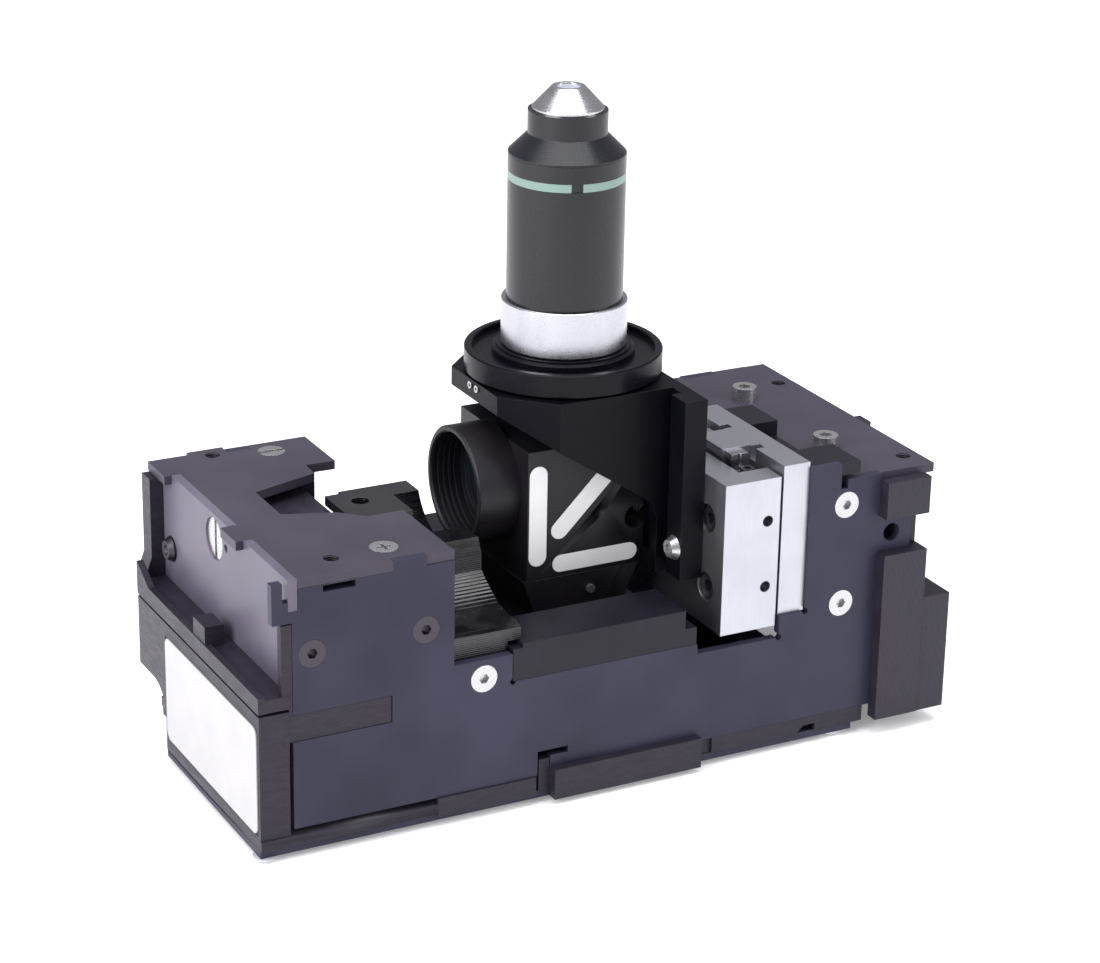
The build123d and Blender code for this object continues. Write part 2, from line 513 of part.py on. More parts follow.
CARRIAGE_HOLES = [(7.9, 48.0), (7.9, 32.3)]
FRONT_TAPPED = [(112.3, 48.0), (112.3, 32.9)]
BRACKET_SCREWS = [(12.4, 40.5), (33.0, 44.0)]
with BuildPart() as stage_carriage:
    block(CARRIAGE_LEFT, CARRIAGE_RIGHT, STAGE_FRONT, STAGE_BACK, CARRIAGE_BOTTOM, CARRIAGE_TOP)
    block(CHANNEL_X, CARRIAGE_RIGHT + 1, CHANNEL_FRONT - 0.02, CHANNEL_BACK + 0.02, CARRIAGE_BOTTOM - 1,
          CARRIAGE_TOP + 1, mode=Mode.SUBTRACT)
    for sy, sz in CARRIAGE_HOLES:
        rod("x", (CARRIAGE_LEFT - 1, sy, sz), 3.2, 4.6, Mode.SUBTRACT)
        rod("x", (CARRIAGE_LEFT, sy, sz), CLEARANCE_HOLE / 2, 8.0, Mode.SUBTRACT)
    for sx, sz in FRONT_TAPPED:
        rod("y", (sx, STAGE_FRONT - 1, sz), 1.25, 8.0, Mode.SUBTRACT)
    for sy, sz in BRACKET_SCREWS:
        rod("x", (CARRIAGE_LEFT - 1, sy, sz), SCREW_SHANK / 2 + FIT, 6.2, Mode.SUBTRACT)
save(stage_carriage, "stage_carriage")

with BuildPart() as carriage_rails:
    for y0, y1 in ((CHANNEL_FRONT, FRONT_ROLLER_Y - RAIL_GAP / 2), (BACK_ROLLER_Y + RAIL_GAP / 2, CHANNEL_BACK)):
        block(RAIL_X0, RAIL_X1, y0, y1, CARRIAGE_BOTTOM + 0.4, CARRIAGE_TOP - 2.0)
    with BuildSketch(top_face(CARRIAGE_BOTTOM)):
        for yc in (FRONT_ROLLER_Y, BACK_ROLLER_Y):
            with Locations((RAIL_X, yc)):
                Rectangle(GROOVE * 2 ** 0.5, GROOVE * 2 ** 0.5, rotation=45)
    extrude(amount=STAGE_HEIGHT, mode=Mode.SUBTRACT)
save(carriage_rails, "carriage_rails")

ROLLERS = 8
ROLLER_PITCH = 3.4
CAGE_CENTRE = (CARRIAGE_BOTTOM + STAGE_SEAT + STAGE_HEIGHT) / 2
with BuildPart() as roller_cages:
    for yc in (FRONT_ROLLER_Y, BACK_ROLLER_Y):
        block(RAIL_X - 1.7, RAIL_X + 1.7, yc - 0.3, yc + 0.3, CAGE_CENTRE - 14.4, CAGE_CENTRE + 14.4)
        for i in range(ROLLERS):
            zc = CAGE_CENTRE + (i - (ROLLERS - 1) / 2) * ROLLER_PITCH
            block(RAIL_X - 1.15, RAIL_X + 1.15, yc - 1, yc + 1, zc - 1.0, zc + 1.0, mode=Mode.SUBTRACT)
    for yc in (FRONT_ROLLER_Y, BACK_ROLLER_Y):
        for i in range(ROLLERS):
            zc = CAGE_CENTRE + (i - (ROLLERS - 1) / 2) * ROLLER_PITCH
            lean = 45 if i % 2 == 0 else -45
            with Locations(Location(SHIFT + Vector(RAIL_X, yc, zc), (0, 0, lean))):
                Cylinder(ROLLER_R, 1.42, rotation=(0, 90, 0))
save(roller_cages, "roller_cages")

with BuildPart() as rail_end_screws:
    for yc in (CHANNEL_FRONT + 2.0, CHANNEL_BACK - 2.0):
        rod("z", (RAIL_X, yc, CARRIAGE_TOP - 2.0), 1.9, 1.9, end_radius=1.5)
        hex_recess(top_face(CARRIAGE_TOP - 0.1), (RAIL_X, yc), 1.5, 0.8)
save(rail_end_screws, "rail_end_screws")

with BuildPart() as carriage_screws:
    for sy, sz in CARRIAGE_HOLES:
        rod("x", (CARRIAGE_LEFT + 0.7, sy, sz), SOCKET_HEAD / 2, 2.8)
        rod("x", (CARRIAGE_LEFT + 3.4, sy, sz), SCREW_SHANK / 2, 3.1)
        hex_recess(side_face(CARRIAGE_LEFT + 2.2), (sy, sz), 2.5, 1.6)
save(carriage_screws, "carriage_screws")

# Bracket that carries the objective: upright plate and a gusseted eight sided shelf
SHELF_LEFT = 61.95
SHELF_FRONT = 19.4
SHELF_BACK = 61.4
CORNER = 10.0
GUSSET = 3.0
PLATE_BOTTOM = 33.7
with BuildPart() as bracket_back_plate:
    with BuildSketch(side_face(BACK_PLATE_X)):
        Polygon((9.6, PLATE_BOTTOM), (9.6, PLATE_TOP), (SHELF_BACK, PLATE_TOP), (SHELF_BACK, 45.0),
                (50.0, PLATE_BOTTOM), align=None)
    extrude(amount=CARRIAGE_LEFT - FIT - BACK_PLATE_X)
    chamfer_edges = bracket_back_plate.edges().filter_by(Axis.Y).group_by(Axis.Z)[-1].sort_by(Axis.X)[0]
    chamfer(chamfer_edges, 2.2)
    for sy, sz in CARRIAGE_HOLES:
        rod("x", (BACK_PLATE_X - 1, sy, sz), 3.3, 8.0, Mode.SUBTRACT)
    for sy, sz in BRACKET_SCREWS:
        rod("x", (BACK_PLATE_X - 1, sy, sz), CLEARANCE_HOLE / 2, 8.0, Mode.SUBTRACT)
    # the screw behind the cube sits in a counterbore
    hidden_y, hidden_z = BRACKET_SCREWS[1]
    rod("x", (BACK_PLATE_X - 1, hidden_y, hidden_z), 2.9, 3.0, Mode.SUBTRACT)
save(bracket_back_plate, "bracket_back_plate")

with BuildPart() as objective_bracket:
    with BuildSketch(top_face(PLATE_TOP - BRACKET_SHEET)):
        Polygon((BACK_PLATE_X - FIT, SHELF_FRONT), (SHELF_LEFT + CORNER, SHELF_FRONT),
                (SHELF_LEFT, SHELF_FRONT + CORNER), (SHELF_LEFT, SHELF_BACK - CORNER),
                (SHELF_LEFT + CORNER, SHELF_BACK), (BACK_PLATE_X - FIT, SHELF_BACK), align=None)
        with Locations((AXIS_X, AXIS_Y)):
            Circle(COLLAR_R + 0.08, mode=Mode.SUBTRACT)
    extrude(amount=BRACKET_SHEET)
    for y0 in (SHELF_FRONT, SHELF_BACK - GUSSET):
        with BuildSketch(front_face(y0)):
            with BuildLine():
                Polyline((BACK_PLATE_X - FIT, PLATE_TOP - 0.5), (69.0, PLATE_TOP - 0.5), (69.0, 73.6),
                         (91.3, 51.3))
                ThreePointArc((91.3, 51.3), (94.1, 47.9), (95.0, 43.6))
                Polyline((95.0, 43.6), (95.0, 32.2), (BACK_PLATE_X - FIT, 32.2),
                         (BACK_PLATE_X - FIT, PLATE_TOP - 0.5))
            make_face()
        extrude(amount=-GUSSET)
    # the gusset below the shelf follows its eight sided outline
    with BuildSketch(top_face(40.0)):
        Polygon((50, SHELF_FRONT - 5), (SHELF_LEFT + CORNER + 5, SHELF_FRONT - 5),
                (SHELF_LEFT - 5, SHELF_FRONT + CORNER + 5), (50, SHELF_FRONT + CORNER + 5), align=None)
        Polygon((50, SHELF_BACK + 5), (SHELF_LEFT + CORNER + 5, SHELF_BACK + 5),
                (SHELF_LEFT - 5, SHELF_BACK - CORNER - 5), (50, SHELF_BACK - CORNER - 5), align=None)
    extrude(amount=40.0, mode=Mode.SUBTRACT)
    # tapped holes of the two centring screws
    for sy in (42.1, 39.0):
        rod("x", (SHELF_LEFT - 1, sy, 72.9), 0.85, 5.0, Mode.SUBTRACT)
save(objective_bracket, "objective_bracket")

with BuildPart() as bracket_screws:
    for (sy, sz), seat in zip(BRACKET_SCREWS, (BACK_PLATE_X, BACK_PLATE_X + 2.0)):
        rod("x", (seat - 1.6, sy, sz), 1.9, 1.55, end_radius=2.75)
        rod("x", (seat - 0.1, sy, sz), SCREW_SHANK / 2, 8.0)
        hex_recess(side_face(seat - 0.7), (sy, sz), 2.0, 1.0)
save(bracket_screws, "bracket_screws")

with BuildPart() as centring_screws:
    for sy in (42.1, 39.0):
        rod("x", (SHELF_LEFT - 0.3, sy, 72.9), 0.8, 3.6)
        hex_recess(side_face(SHELF_LEFT + 0.3), (sy, 72.9), 0.8, 0.7)
save(centring_screws, "centring_screws")

# Objective dish: raised rim, shallow recess, and a collar that drops into the bracket
DISH_BOTTOM = PLATE_TOP + 0.02
DISH_FLOOR = DISH_TOP - 1.3
with BuildPart() as objective_dish:
    turned([(STUB_R + FIT, 72.0), (COLLAR_R, 72.0), (COLLAR_R, DISH_BOTTOM), (DISH_R - 1.6, DISH_BOTTOM),
            (DISH_R - 1.0, DISH_BOTTOM + 0.6), (DISH_R, DISH_BOTTOM + 0.6), (DISH_R, DISH_TOP - 0.3),
            (DISH_R - 0.3, DISH_TOP), (DISH_R - 1.5, DISH_TOP), (DISH_R - 1.7, DISH_TOP - 0.2),
            (DISH_R - 1.7, DISH_FLOOR), (STUB_R + FIT, DISH_FLOOR)])
save(objective_dish, "objective_dish")

with BuildPart() as objective_seat_ring:
    turned([(12.5, DISH_FLOOR + 0.02), (15.4, DISH_FLOOR + 0.02), (15.4, DISH_TOP - 0.2),
            (14.6, DISH_TOP + 0.2), (14.6, DISH_TOP + 0.7), (12.5, DISH_TOP + 0.7)])
save(objective_seat_ring, "objective_seat_ring")

# Objective: threaded base ring, barrel with a colour band, nose and polished tip
SHOULDER = 80.4
BARREL_BOTTOM = 90.6
BARREL_TOP = 122.1
BAND_Z = 116.7
BAND_HEIGHT = 1.8
BAND_DEPTH = 0.25
NOSE_TOP = 131.5
TIP_TOP = TABLE + 142.9
with BuildPart() as objective_base_ring:
    turned([(CELL_R + FIT, SHOULDER - 4.6), (STUB_R, SHOULDER - 4.6), (STUB_R, SHOULDER),
            (BASE_RING_R - 0.3, SHOULDER), (BASE_RING_R, SHOULDER + 0.3),
            (BASE_RING_R, BARREL_BOTTOM - 0.3), (BASE_RING_R - 0.3, BARREL_BOTTOM), (CELL_R + FIT, BARREL_BOTTOM)])
save(objective_base_ring, "objective_base_ring")

with BuildPart() as objective_barrel:
    turned([(CELL_R + FIT, BARREL_BOTTOM + FIT), (BARREL_R, BARREL_BOTTOM + FIT), (BARREL_R, BAND_Z),
            (BARREL_R - BAND_DEPTH, BAND_Z), (BARREL_R - BAND_DEPTH, BAND_Z + BAND_HEIGHT),
            (BARREL_R, BAND_Z + BAND_HEIGHT), (BARREL_R, BARREL_TOP), (CELL_R + FIT, BARREL_TOP)])
save(objective_barrel, "objective_barrel")

with BuildPart() as objective_band:
    turned([(BARREL_R - BAND_DEPTH + 0.02, BAND_Z + 0.02), (BARREL_R, BAND_Z + 0.02),
            (BARREL_R, BAND_Z + BAND_HEIGHT - 0.02),
            (BARREL_R - BAND_DEPTH + 0.02, BAND_Z + BAND_HEIGHT - 0.02)])
    # the band is open on the front left, where the plain side begins
    with BuildSketch(top_face(BAND_Z)):
        with BuildLine():
            Polyline((AXIS_X, AXIS_Y), (AXIS_X - 4.2, AXIS_Y - 20.0), (AXIS_X - 8.6, AXIS_Y - 20.0),
                     (AXIS_X, AXIS_Y))
        make_face()
    extrude(amount=BAND_HEIGHT, mode=Mode.SUBTRACT)
save(objective_band, "objective_band")

with BuildPart() as objective_nose:
    turned([(6.5, BARREL_TOP + FIT), (BARREL_R, BARREL_TOP + FIT), (BARREL_R, BARREL_TOP + 0.4),
            (NOSE_R, 126.5), (NOSE_R, NOSE_TOP), (6.5, NOSE_TOP)])
save(objective_nose, "objective_nose")

with BuildPart() as objective_tip:
    turned([(1.8, 126.0), (6.45, 126.0), (6.45, NOSE_TOP + 0.02), (TIP_R, NOSE_TOP + 0.02),
            (TIP_R, NOSE_TOP + 0.6), (TIP_END_R, TIP_TOP), (2.6, TIP_TOP), (2.6, TIP_TOP - 1.0),
            (1.8, TIP_TOP - 1.0)])
save(objective_tip, "objective_tip")

with BuildPart() as front_lens:
    rod("z", (AXIS_X, AXIS_Y, TIP_TOP - 0.98), 2.55, 0.7)
save(front_lens, "front_lens")

with BuildPart() as objective_lens_cell:
    turned([(5.0, SHOULDER - 4.0), (CELL_R, SHOULDER - 4.0), (CELL_R, 121.0), (6.4, 121.6),
            (6.4, 125.9), (5.0, 125.9)])
save(objective_lens_cell, "objective_lens_cell")

# Filter cube: two halves that meet on a diagonal, with the dichroic mirror between them
CUBE_LEFT = 66.9
CUBE_RIGHT = 95.3
CUBE_FRONT = 24.2
CUBE_BACK = 56.7
CUBE_BOTTOM = 33.1
CUBE_TOP = 62.55
PORT_R = 11.0
SEAM_OUT = (CUBE_LEFT + 2.0, CUBE_BOTTOM)
SEAM_LENGTH = CUBE_RIGHT - CUBE_LEFT - 2.0
with BuildPart() as cube_upper_half:
    with BuildSketch(front_face(CUBE_FRONT)):
        Polygon((CUBE_LEFT, CUBE_BOTTOM), SEAM_OUT, (CUBE_RIGHT, CUBE_BOTTOM + SEAM_LENGTH),
                (CUBE_RIGHT, CUBE_TOP), (CUBE_LEFT, CUBE_TOP), align=None)
    extrude(amount=CUBE_FRONT - CUBE_BACK)
    rod("x", (CUBE_LEFT - 1, AXIS_Y, INLET_Z), 9.5, 17.0, Mode.SUBTRACT)
    rod("z", (AXIS_X, AXIS_Y, 40.0), PORT_R - 1, 30.0, Mode.SUBTRACT)
    rod("x", (CUBE_LEFT - 1, AXIS_Y, INLET_Z), 11.2, 3.0, Mode.SUBTRACT)
save(cube_upper_half, "cube_upper_half")

SEAM = 0.12
with BuildPart() as cube_lower_half:
    with BuildSketch(front_face(CUBE_FRONT + 0.15)):
        Polygon((SEAM_OUT[0] + SEAM * 2, CUBE_BOTTOM), (CUBE_RIGHT, CUBE_BOTTOM),
                (CUBE_RIGHT, CUBE_BOTTOM + SEAM_LENGTH - SEAM * 2), align=None)
    extrude(amount=CUBE_FRONT + 0.3 - CUBE_BACK)
    rod("z", (AXIS_X, AXIS_Y, 30.0), 9.0, 40.0, Mode.SUBTRACT)
    # recess for the dichroic mirror along the seam
    with BuildSketch(front_face(CUBE_FRONT + 5.0)):
        Polygon((74.0, CUBE_BOTTOM + 4.96), (92.6, CUBE_BOTTOM + 23.56), (93.4, CUBE_BOTTOM + 22.6),
                (74.9, CUBE_BOTTOM + 4.1), align=None)
    extrude(amount=-22.5, mode=Mode.SUBTRACT)
    # seat of the emission filter
    rod("z", (AXIS_X, AXIS_Y, CUBE_BOTTOM - 1), 10.3, 3.4, Mode.SUBTRACT)
    # small square recess beside the seam
    with BuildSketch(front_face(CUBE_FRONT)):
        with Locations((84.0, 46.6)):
            Rectangle(3.4, 2.6, rotation=45)
    extrude(amount=-1.4, mode=Mode.SUBTRACT)
save(cube_lower_half, "cube_lower_half")

with BuildPart() as dichroic_mirror:
    with BuildSketch(front_face(CUBE_FRONT + 5.2)):
        Polygon((74.25, CUBE_BOTTOM + 4.95), (92.45, CUBE_BOTTOM + 23.15), (93.05, CUBE_BOTTOM + 22.5),
                (74.85, CUBE_BOTTOM + 4.3), align=None)
    extrude(amount=-22.1)
save(dichroic_mirror, "dichroic_mirror")

with BuildPart() as emission_filter:
    rod("z", (AXIS_X, AXIS_Y, CUBE_BOTTOM + 0.1), 10.2, 2.2)
save(emission_filter, "emission_filter")

RING_LEFT = 57.2
RING_R = 13.0
THREAD_R = 11.85
with BuildPart() as exciter_ring:
    inside = [(9.6, CUBE_LEFT + 1.8), (9.6, 64.6), (11.5, 64.6)]
    # turned grooves of the inside thread
    for i in range(4):
        groove = 62.9 - i * 1.3
        inside += [(11.5, groove), (THREAD_R, groove - 0.15), (THREAD_R, groove - 0.45), (11.5, groove - 0.6)]
    turned([(11.1, CUBE_LEFT + 1.8)] + inside + [
        (11.5, RING_LEFT + 0.4), (11.9, RING_LEFT), (RING_R - 0.3, RING_LEFT), (RING_R, RING_LEFT + 0.3),
        (RING_R, CUBE_LEFT - 0.02), (11.1, CUBE_LEFT - 0.02)], along="x", centre=(AXIS_Y, INLET_Z))
save(exciter_ring, "exciter_ring")

with BuildPart() as exciter_filter:
    rod("x", (64.65, AXIS_Y, INLET_Z), 9.55, 2.0)
save(exciter_filter, "exciter_filter")

# Three plain light path marks printed on the cube's front face
MARK_HALF = 2.0
MARK_DEPTH = 0.12
with BuildPart() as cube_marks:
    with BuildSketch(front_face(CUBE_FRONT - 0.02)):
        with Locations(Location((69.3, 46.9, 0), (0, 0, 90))):
            SlotOverall(24.0, 2 * MARK_HALF)
        with Locations(Location((80.1, 49.4, 0), (0, 0, 45))):
            SlotOverall(19.6, 2 * MARK_HALF)
    extrude(amount=MARK_DEPTH)
    with BuildSketch(front_face(CUBE_FRONT + 0.13)):
        with Locations(Location((83.5, 37.0, 0))):
            SlotOverall(17.8, 2 * MARK_HALF - 1.4)
    extrude(amount=MARK_DEPTH)
save(cube_marks, "cube_marks")

# Cube base with sloping ends, its spring pin, and the optics block that carries it
BASE_FRONT = 24.3
with BuildPart() as cube_base:
    with BuildSketch(front_face(BASE_FRONT)):
        Polygon((66.2, CUBE_BOTTOM - FIT), (69.4, 24.1), (86.0, 24.1), (89.7, CUBE_BOTTOM - FIT),
                align=None)
    extrude(amount=BASE_FRONT - CUBE_BACK + 0.2)
    # clamp wedge at the right end
    with BuildSketch(front_face(BASE_FRONT + 1.0)):
        Polygon((85.0, 24.1), (91.0, 24.1), (94.9, CUBE_BOTTOM - FIT), (86.0, CUBE_BOTTOM - FIT),
                align=None)
    extrude(amount=-6.0)
    rod("z", (AXIS_X - 2.0, AXIS_Y, 20.0), 7.4, 20.0, Mode.SUBTRACT)
    rod("y", (82.4, BASE_FRONT - 1, 29.0), 1.02, 5.0, Mode.SUBTRACT)
save(cube_base, "cube_base")

with BuildPart() as spring_pin:
    rod("y", (82.4, BASE_FRONT - 0.7, 29.0), 1.0, 4.4)
save(spring_pin, "spring_pin")

LIP = 31.2
LIP_DEPTH = 13.3
with BuildPart() as optics_block:
    with BuildSketch(front_face(0.05)):
        Polygon((51.6, BLOCK_SEAT + FIT), (95.2, BLOCK_SEAT + FIT), (95.2, 27.0), (92.4, 27.0),
                (92.4, LIP), (53.8, LIP), (53.8, 30.2), (51.6, 30.2), align=None)
    extrude(amount=-LIP_DEPTH)
    with BuildSketch(front_face(DEPTH - 0.05)):
        Polygon((51.6, BLOCK_SEAT + FIT), (95.2, BLOCK_SEAT + FIT), (95.2, 27.0), (92.4, 27.0),
                (92.4, LIP), (53.8, LIP), (53.8, 30.2), (51.6, 30.2), align=None)
    extrude(amount=LIP_DEPTH)
    block(51.6, 95.2, SHEET + FIT, DEPTH - SHEET - FIT, 19.0, 24.0)
    rod("z", (AXIS_X, AXIS_Y, 18.0), 8.0, 8.0, Mode.SUBTRACT)
save(optics_block, "optics_block")

# Printed cradle for the lamp tube, stepped towards the front plate
CRADLE_BOTTOM = 28.2
with BuildPart() as light_tube_cradle:
    with BuildSketch(side_face(LEFT_TOWER + 0.2)):
        Polygon((2.2, CRADLE_BOTTOM), (2.2, 34.7), (11.9, 35.2), (15.2, 36.8), (18.1, 38.2), (20.5, 39.6),
                (20.5, 43.4), (21.6, 45.6), (24.5, 48.6), (28.0, 50.6), (44.0, 50.6), (52.8, 50.6),
                (59.0, 44.0), (60.3, 39.6), (62.7, 38.2), (70.6, 34.7), (70.6, CRADLE_BOTTOM), align=None)
    extrude(amount=16.2)
    # trough for the tube, and the cut that clears the cube inlet and the optics block
    rod("x", (LEFT_TOWER - 1, AXIS_Y, 52.6), 8.6, 19.0, Mode.SUBTRACT)
    block(51.3, 56.0, 0, DEPTH, 20.0, LIP + 0.1, mode=Mode.SUBTRACT)
    # flange with its screw hole under the left top plate
    block(28.3, LEFT_TOWER + 0.4, 27.8, 43.0, 50.6, DECK - FIT)
    block(LEFT_TOWER + 0.3, 41.8, 27.8, 43.0, 50.4, DECK - FIT)
    block(LEFT_TOWER, 42.5, 30.2, 50.6, 46.0, 50.5)
    rod("z", (34.0, 37.4, 45.0), 1.9, 10.0, Mode.SUBTRACT)
save(light_tube_cradle, "light_tube_cradle")

# Inside the base: fold mirror, tube lens and camera
BEAM_Z = 9.5
with BuildPart() as fold_mirror:
    with BuildSketch(front_face(AXIS_Y - 9)):
        Polygon((AXIS_X - 8.5, BEAM_Z + 8.5), (AXIS_X + 8.5, BEAM_Z - 8.5), (AXIS_X + 6.5, BEAM_Z - 9.5),
                (AXIS_X - 9.5, BEAM_Z + 6.5), align=None)
    extrude(amount=-18.0)
save(fold_mirror, "fold_mirror")

with BuildPart() as mirror_bracket:
    block(72.0, 92.0, 29.0, 31.3, 0.0, 18.9)
    block(72.0, 92.0, 49.5, 51.8, 0.0, 18.9)
    block(92.5, 95.2, 29.0, 51.8, 0.0, 18.9)
    block(90.0, 93.0, 29.0, 31.3, 0.0, 18.9)
    block(90.0, 93.0, 49.5, 51.8, 0.0, 18.9)
    rod("x", (91.0, AXIS_Y, BEAM_Z), 8.1, 6.0, Mode.SUBTRACT)
save(mirror_bracket, "mirror_bracket")

with BuildPart() as tube_lens:
    rod("x", (92.6, AXIS_Y, BEAM_Z), 8.0, 2.5)
save(tube_lens, "tube_lens")

with BuildPart() as camera_module:
    block(118.0, 121.5, AXIS_Y - 15, AXIS_Y + 15, 0.0, 19.5)
    rod("x", (112.0, AXIS_Y, BEAM_Z), 8.0, 6.5)
    rod("x", (110.0, AXIS_Y, BEAM_Z), 6.6, 8.6, Mode.SUBTRACT)
save(camera_module, "camera_module")

# Electronics in the left tower and on the base
with BuildPart() as driver_housing:
    block(11.0, 28.1, 26.0, 57.0, 24.0, 50.4)
    fillet(driver_housing.edges().filter_by(Axis.Z), 1.5)
save(driver_housing, "driver_housing")

BOARD_BOTTOM = 1.0
BOARD_TOP = 2.6
with BuildPart() as control_board:
    block(5.0, 49.0, 7.0, DEPTH - 7.0, BOARD_BOTTOM, BOARD_TOP)
    for bx in (8.0, 46.0):
        for by in (10.0, DEPTH - 10.0):
            rod("z", (bx, by, 0.0), 2.4, BOARD_BOTTOM)
            rod("z", (bx, by, -1.0), 1.3, 6.0, Mode.SUBTRACT)
    # processor and plug strip
    block(20.0, 32.0, 30.0, 42.0, BOARD_TOP, BOARD_TOP + 1.5)
    block(7.0, 13.0, 22.0, 50.0, BOARD_TOP, BOARD_TOP + 6.5)
save(control_board, "control_board")
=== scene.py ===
import math

import bmesh
import bpy
from mathutils import Matrix, Vector
from mathutils.geometry import tessellate_polygon


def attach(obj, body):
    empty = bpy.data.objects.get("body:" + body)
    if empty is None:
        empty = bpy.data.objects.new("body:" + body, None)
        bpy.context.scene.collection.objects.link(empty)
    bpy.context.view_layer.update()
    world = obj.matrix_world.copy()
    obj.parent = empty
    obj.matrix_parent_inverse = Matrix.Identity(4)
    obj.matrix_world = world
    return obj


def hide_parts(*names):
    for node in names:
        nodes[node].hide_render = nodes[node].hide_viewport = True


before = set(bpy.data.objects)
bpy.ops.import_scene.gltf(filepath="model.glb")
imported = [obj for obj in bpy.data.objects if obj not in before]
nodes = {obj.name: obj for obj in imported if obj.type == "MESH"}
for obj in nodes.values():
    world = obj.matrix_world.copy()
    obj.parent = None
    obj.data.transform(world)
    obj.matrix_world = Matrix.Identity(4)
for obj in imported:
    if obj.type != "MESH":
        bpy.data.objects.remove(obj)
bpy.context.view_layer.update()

MM = 0.001
PER_METRE = 1000.0

# Forms below are drawn in millimetres from the chassis datum, which lies here in the shared frame
DATUM = Vector((-76.05, -36.4, 6.5))

# Where the upright optical axis stands in the drawing
OPTICAL_AXIS = (83.3, 40.4)

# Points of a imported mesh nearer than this, in metres, are one point
WELD = 1e-6

# Faces that meet more steeply than this stay sharp
SHARP_ANGLE = math.radians(28)


def place(x, y, z):
    """A point of the chassis drawing, in millimetres, as metres in the shared frame."""
    return (Vector((x, y, z)) + DATUM) * MM


# Shader and geometry writing


class Signal:
    """One output of a node. Sums and products of signals add Math nodes."""

    def __init__(self, maker, socket):
        self.maker = maker
        self.socket = socket

    def _math(self, operation, a, b=None):
        values = {0: a} if b is None else {0: a, 1: b}
        return self.maker.node("ShaderNodeMath", {"operation": operation}, values)

    def __add__(self, other):
        return self._math("ADD", self, other)

    def __radd__(self, other):
        return self._math("ADD", other, self)

    def __sub__(self, other):
        return self._math("SUBTRACT", self, other)

    def __mul__(self, other):
        return self._math("MULTIPLY", self, other)

    def __truediv__(self, other):
        return self._math("DIVIDE", self, other)

    def __pow__(self, other):
        return self._math("POWER", self, other)

    def wave(self):
        return self._math("SINE", self)


class Tree:
    """Adds nodes to a node tree: settings are set first, then the sockets."""

    def __init__(self, tree):
        self.tree = tree

    def node(self, kind, settings=None, inputs=None, output=0):
        n = self.tree.nodes.new(kind)
        for key, value in (settings or {}).items():
            setattr(n, key, value)
        for key, value in (inputs or {}).items():
            self.feed(n.inputs[key], value)
        return Signal(self, n.outputs[output])

    def feed(self, socket, value):
        if isinstance(value, Signal):
            self.tree.links.new(value.socket, socket)
        else:
            socket.default_value = value


class Finish(Tree):
    """A surface finish: one Principled shader with its colour, gloss and relief."""

    def __init__(self, name):
        self.material = bpy.data.materials.new(name)
        self.material.use_nodes = True
        super().__init__(self.material.node_tree)
        self.tree.nodes.clear()
        self.shader = self.tree.nodes.new("ShaderNodeBsdfPrincipled")
        out = self.tree.nodes.new("ShaderNodeOutputMaterial")
        self.tree.links.new(self.shader.outputs[0], out.inputs[0])
        self.place = self.node("ShaderNodeTexCoord", output="Object")

    def set(self, **sockets):
        for key, value in sockets.items():
            if isinstance(value, tuple) and len(value) == 3:
                value = (*value, 1.0)
            self.feed(self.shader.inputs[key.replace("_", " ")], value)

    def axes(self):
        """The three object coordinates as signals, in millimetres."""
        split = self.node("ShaderNodeVectorMath", {"operation": "SCALE"},
                          {0: self.place, "Scale": PER_METRE})
        cut = self.tree.nodes.new("ShaderNodeSeparateXYZ")
        self.feed(cut.inputs[0], split)
        return [Signal(self, cut.outputs[i]) for i in range(3)]

    def grain(self, per_mm, stretch=(1.0, 1.0, 1.0), detail=3.0, rough=0.55):
        """Noise with per_mm lumps in a millimetre, squeezed or drawn out along the axes."""
        spread = self.node("ShaderNodeMapping", None, {0: self.place, 3: stretch})
        return self.node("ShaderNodeTexNoise", None, {"Vector": spread, "Scale": per_mm * PER_METRE,
                                                      "Detail": detail, "Roughness": rough})

    def tint(self, share, a, b):
        """Colour between a and b."""
        a = (*a, 1.0) if isinstance(a, tuple) and len(a) == 3 else a
        b = (*b, 1.0) if isinstance(b, tuple) and len(b) == 3 else b
        return self.node("ShaderNodeMix", {"data_type": "RGBA"}, {0: share, 6: a, 7: b}, output=2)

    def span(self, share, low, high, to_low, to_high):
        """Maps low..high of a signal to to_low..to_high and holds it there."""
        return self.node("ShaderNodeMapRange", None, {0: share, 1: low, 2: high, 3: to_low, 4: to_high})

    def edge(self, width):
        """1 near the sharp edges of the piece, 0 on its faces."""
        soft = self.node("ShaderNodeBevel", {"samples": 4}, {"Radius": width * MM})
        flat = self.node("ShaderNodeNewGeometry", output="Normal")
        lean = self.node("ShaderNodeVectorMath", {"operation": "DOT_PRODUCT"}, {0: soft, 1: flat},
                         output="Value")
        return self.span(lean, 0.995, 0.80, 0.0, 1.0)

    def relief(self, height, depth, strength=1.0, round_edge=0.0):
        """Bump of the given depth in millimetres, over softly broken edges."""
        inputs = {"Height": height, "Distance": depth * MM, "Strength": strength}
        if round_edge:
            inputs["Normal"] = self.node("ShaderNodeBevel", {"samples": 4}, {"Radius": round_edge * MM})
        self.set(Normal=self.node("ShaderNodeBump", None, inputs))
        return self


# Finishes


def toned(colour, factor, lift=0.0):
    """A colour made darker or paler."""
    return tuple(min(1.0, c * factor + lift) for c in colour)


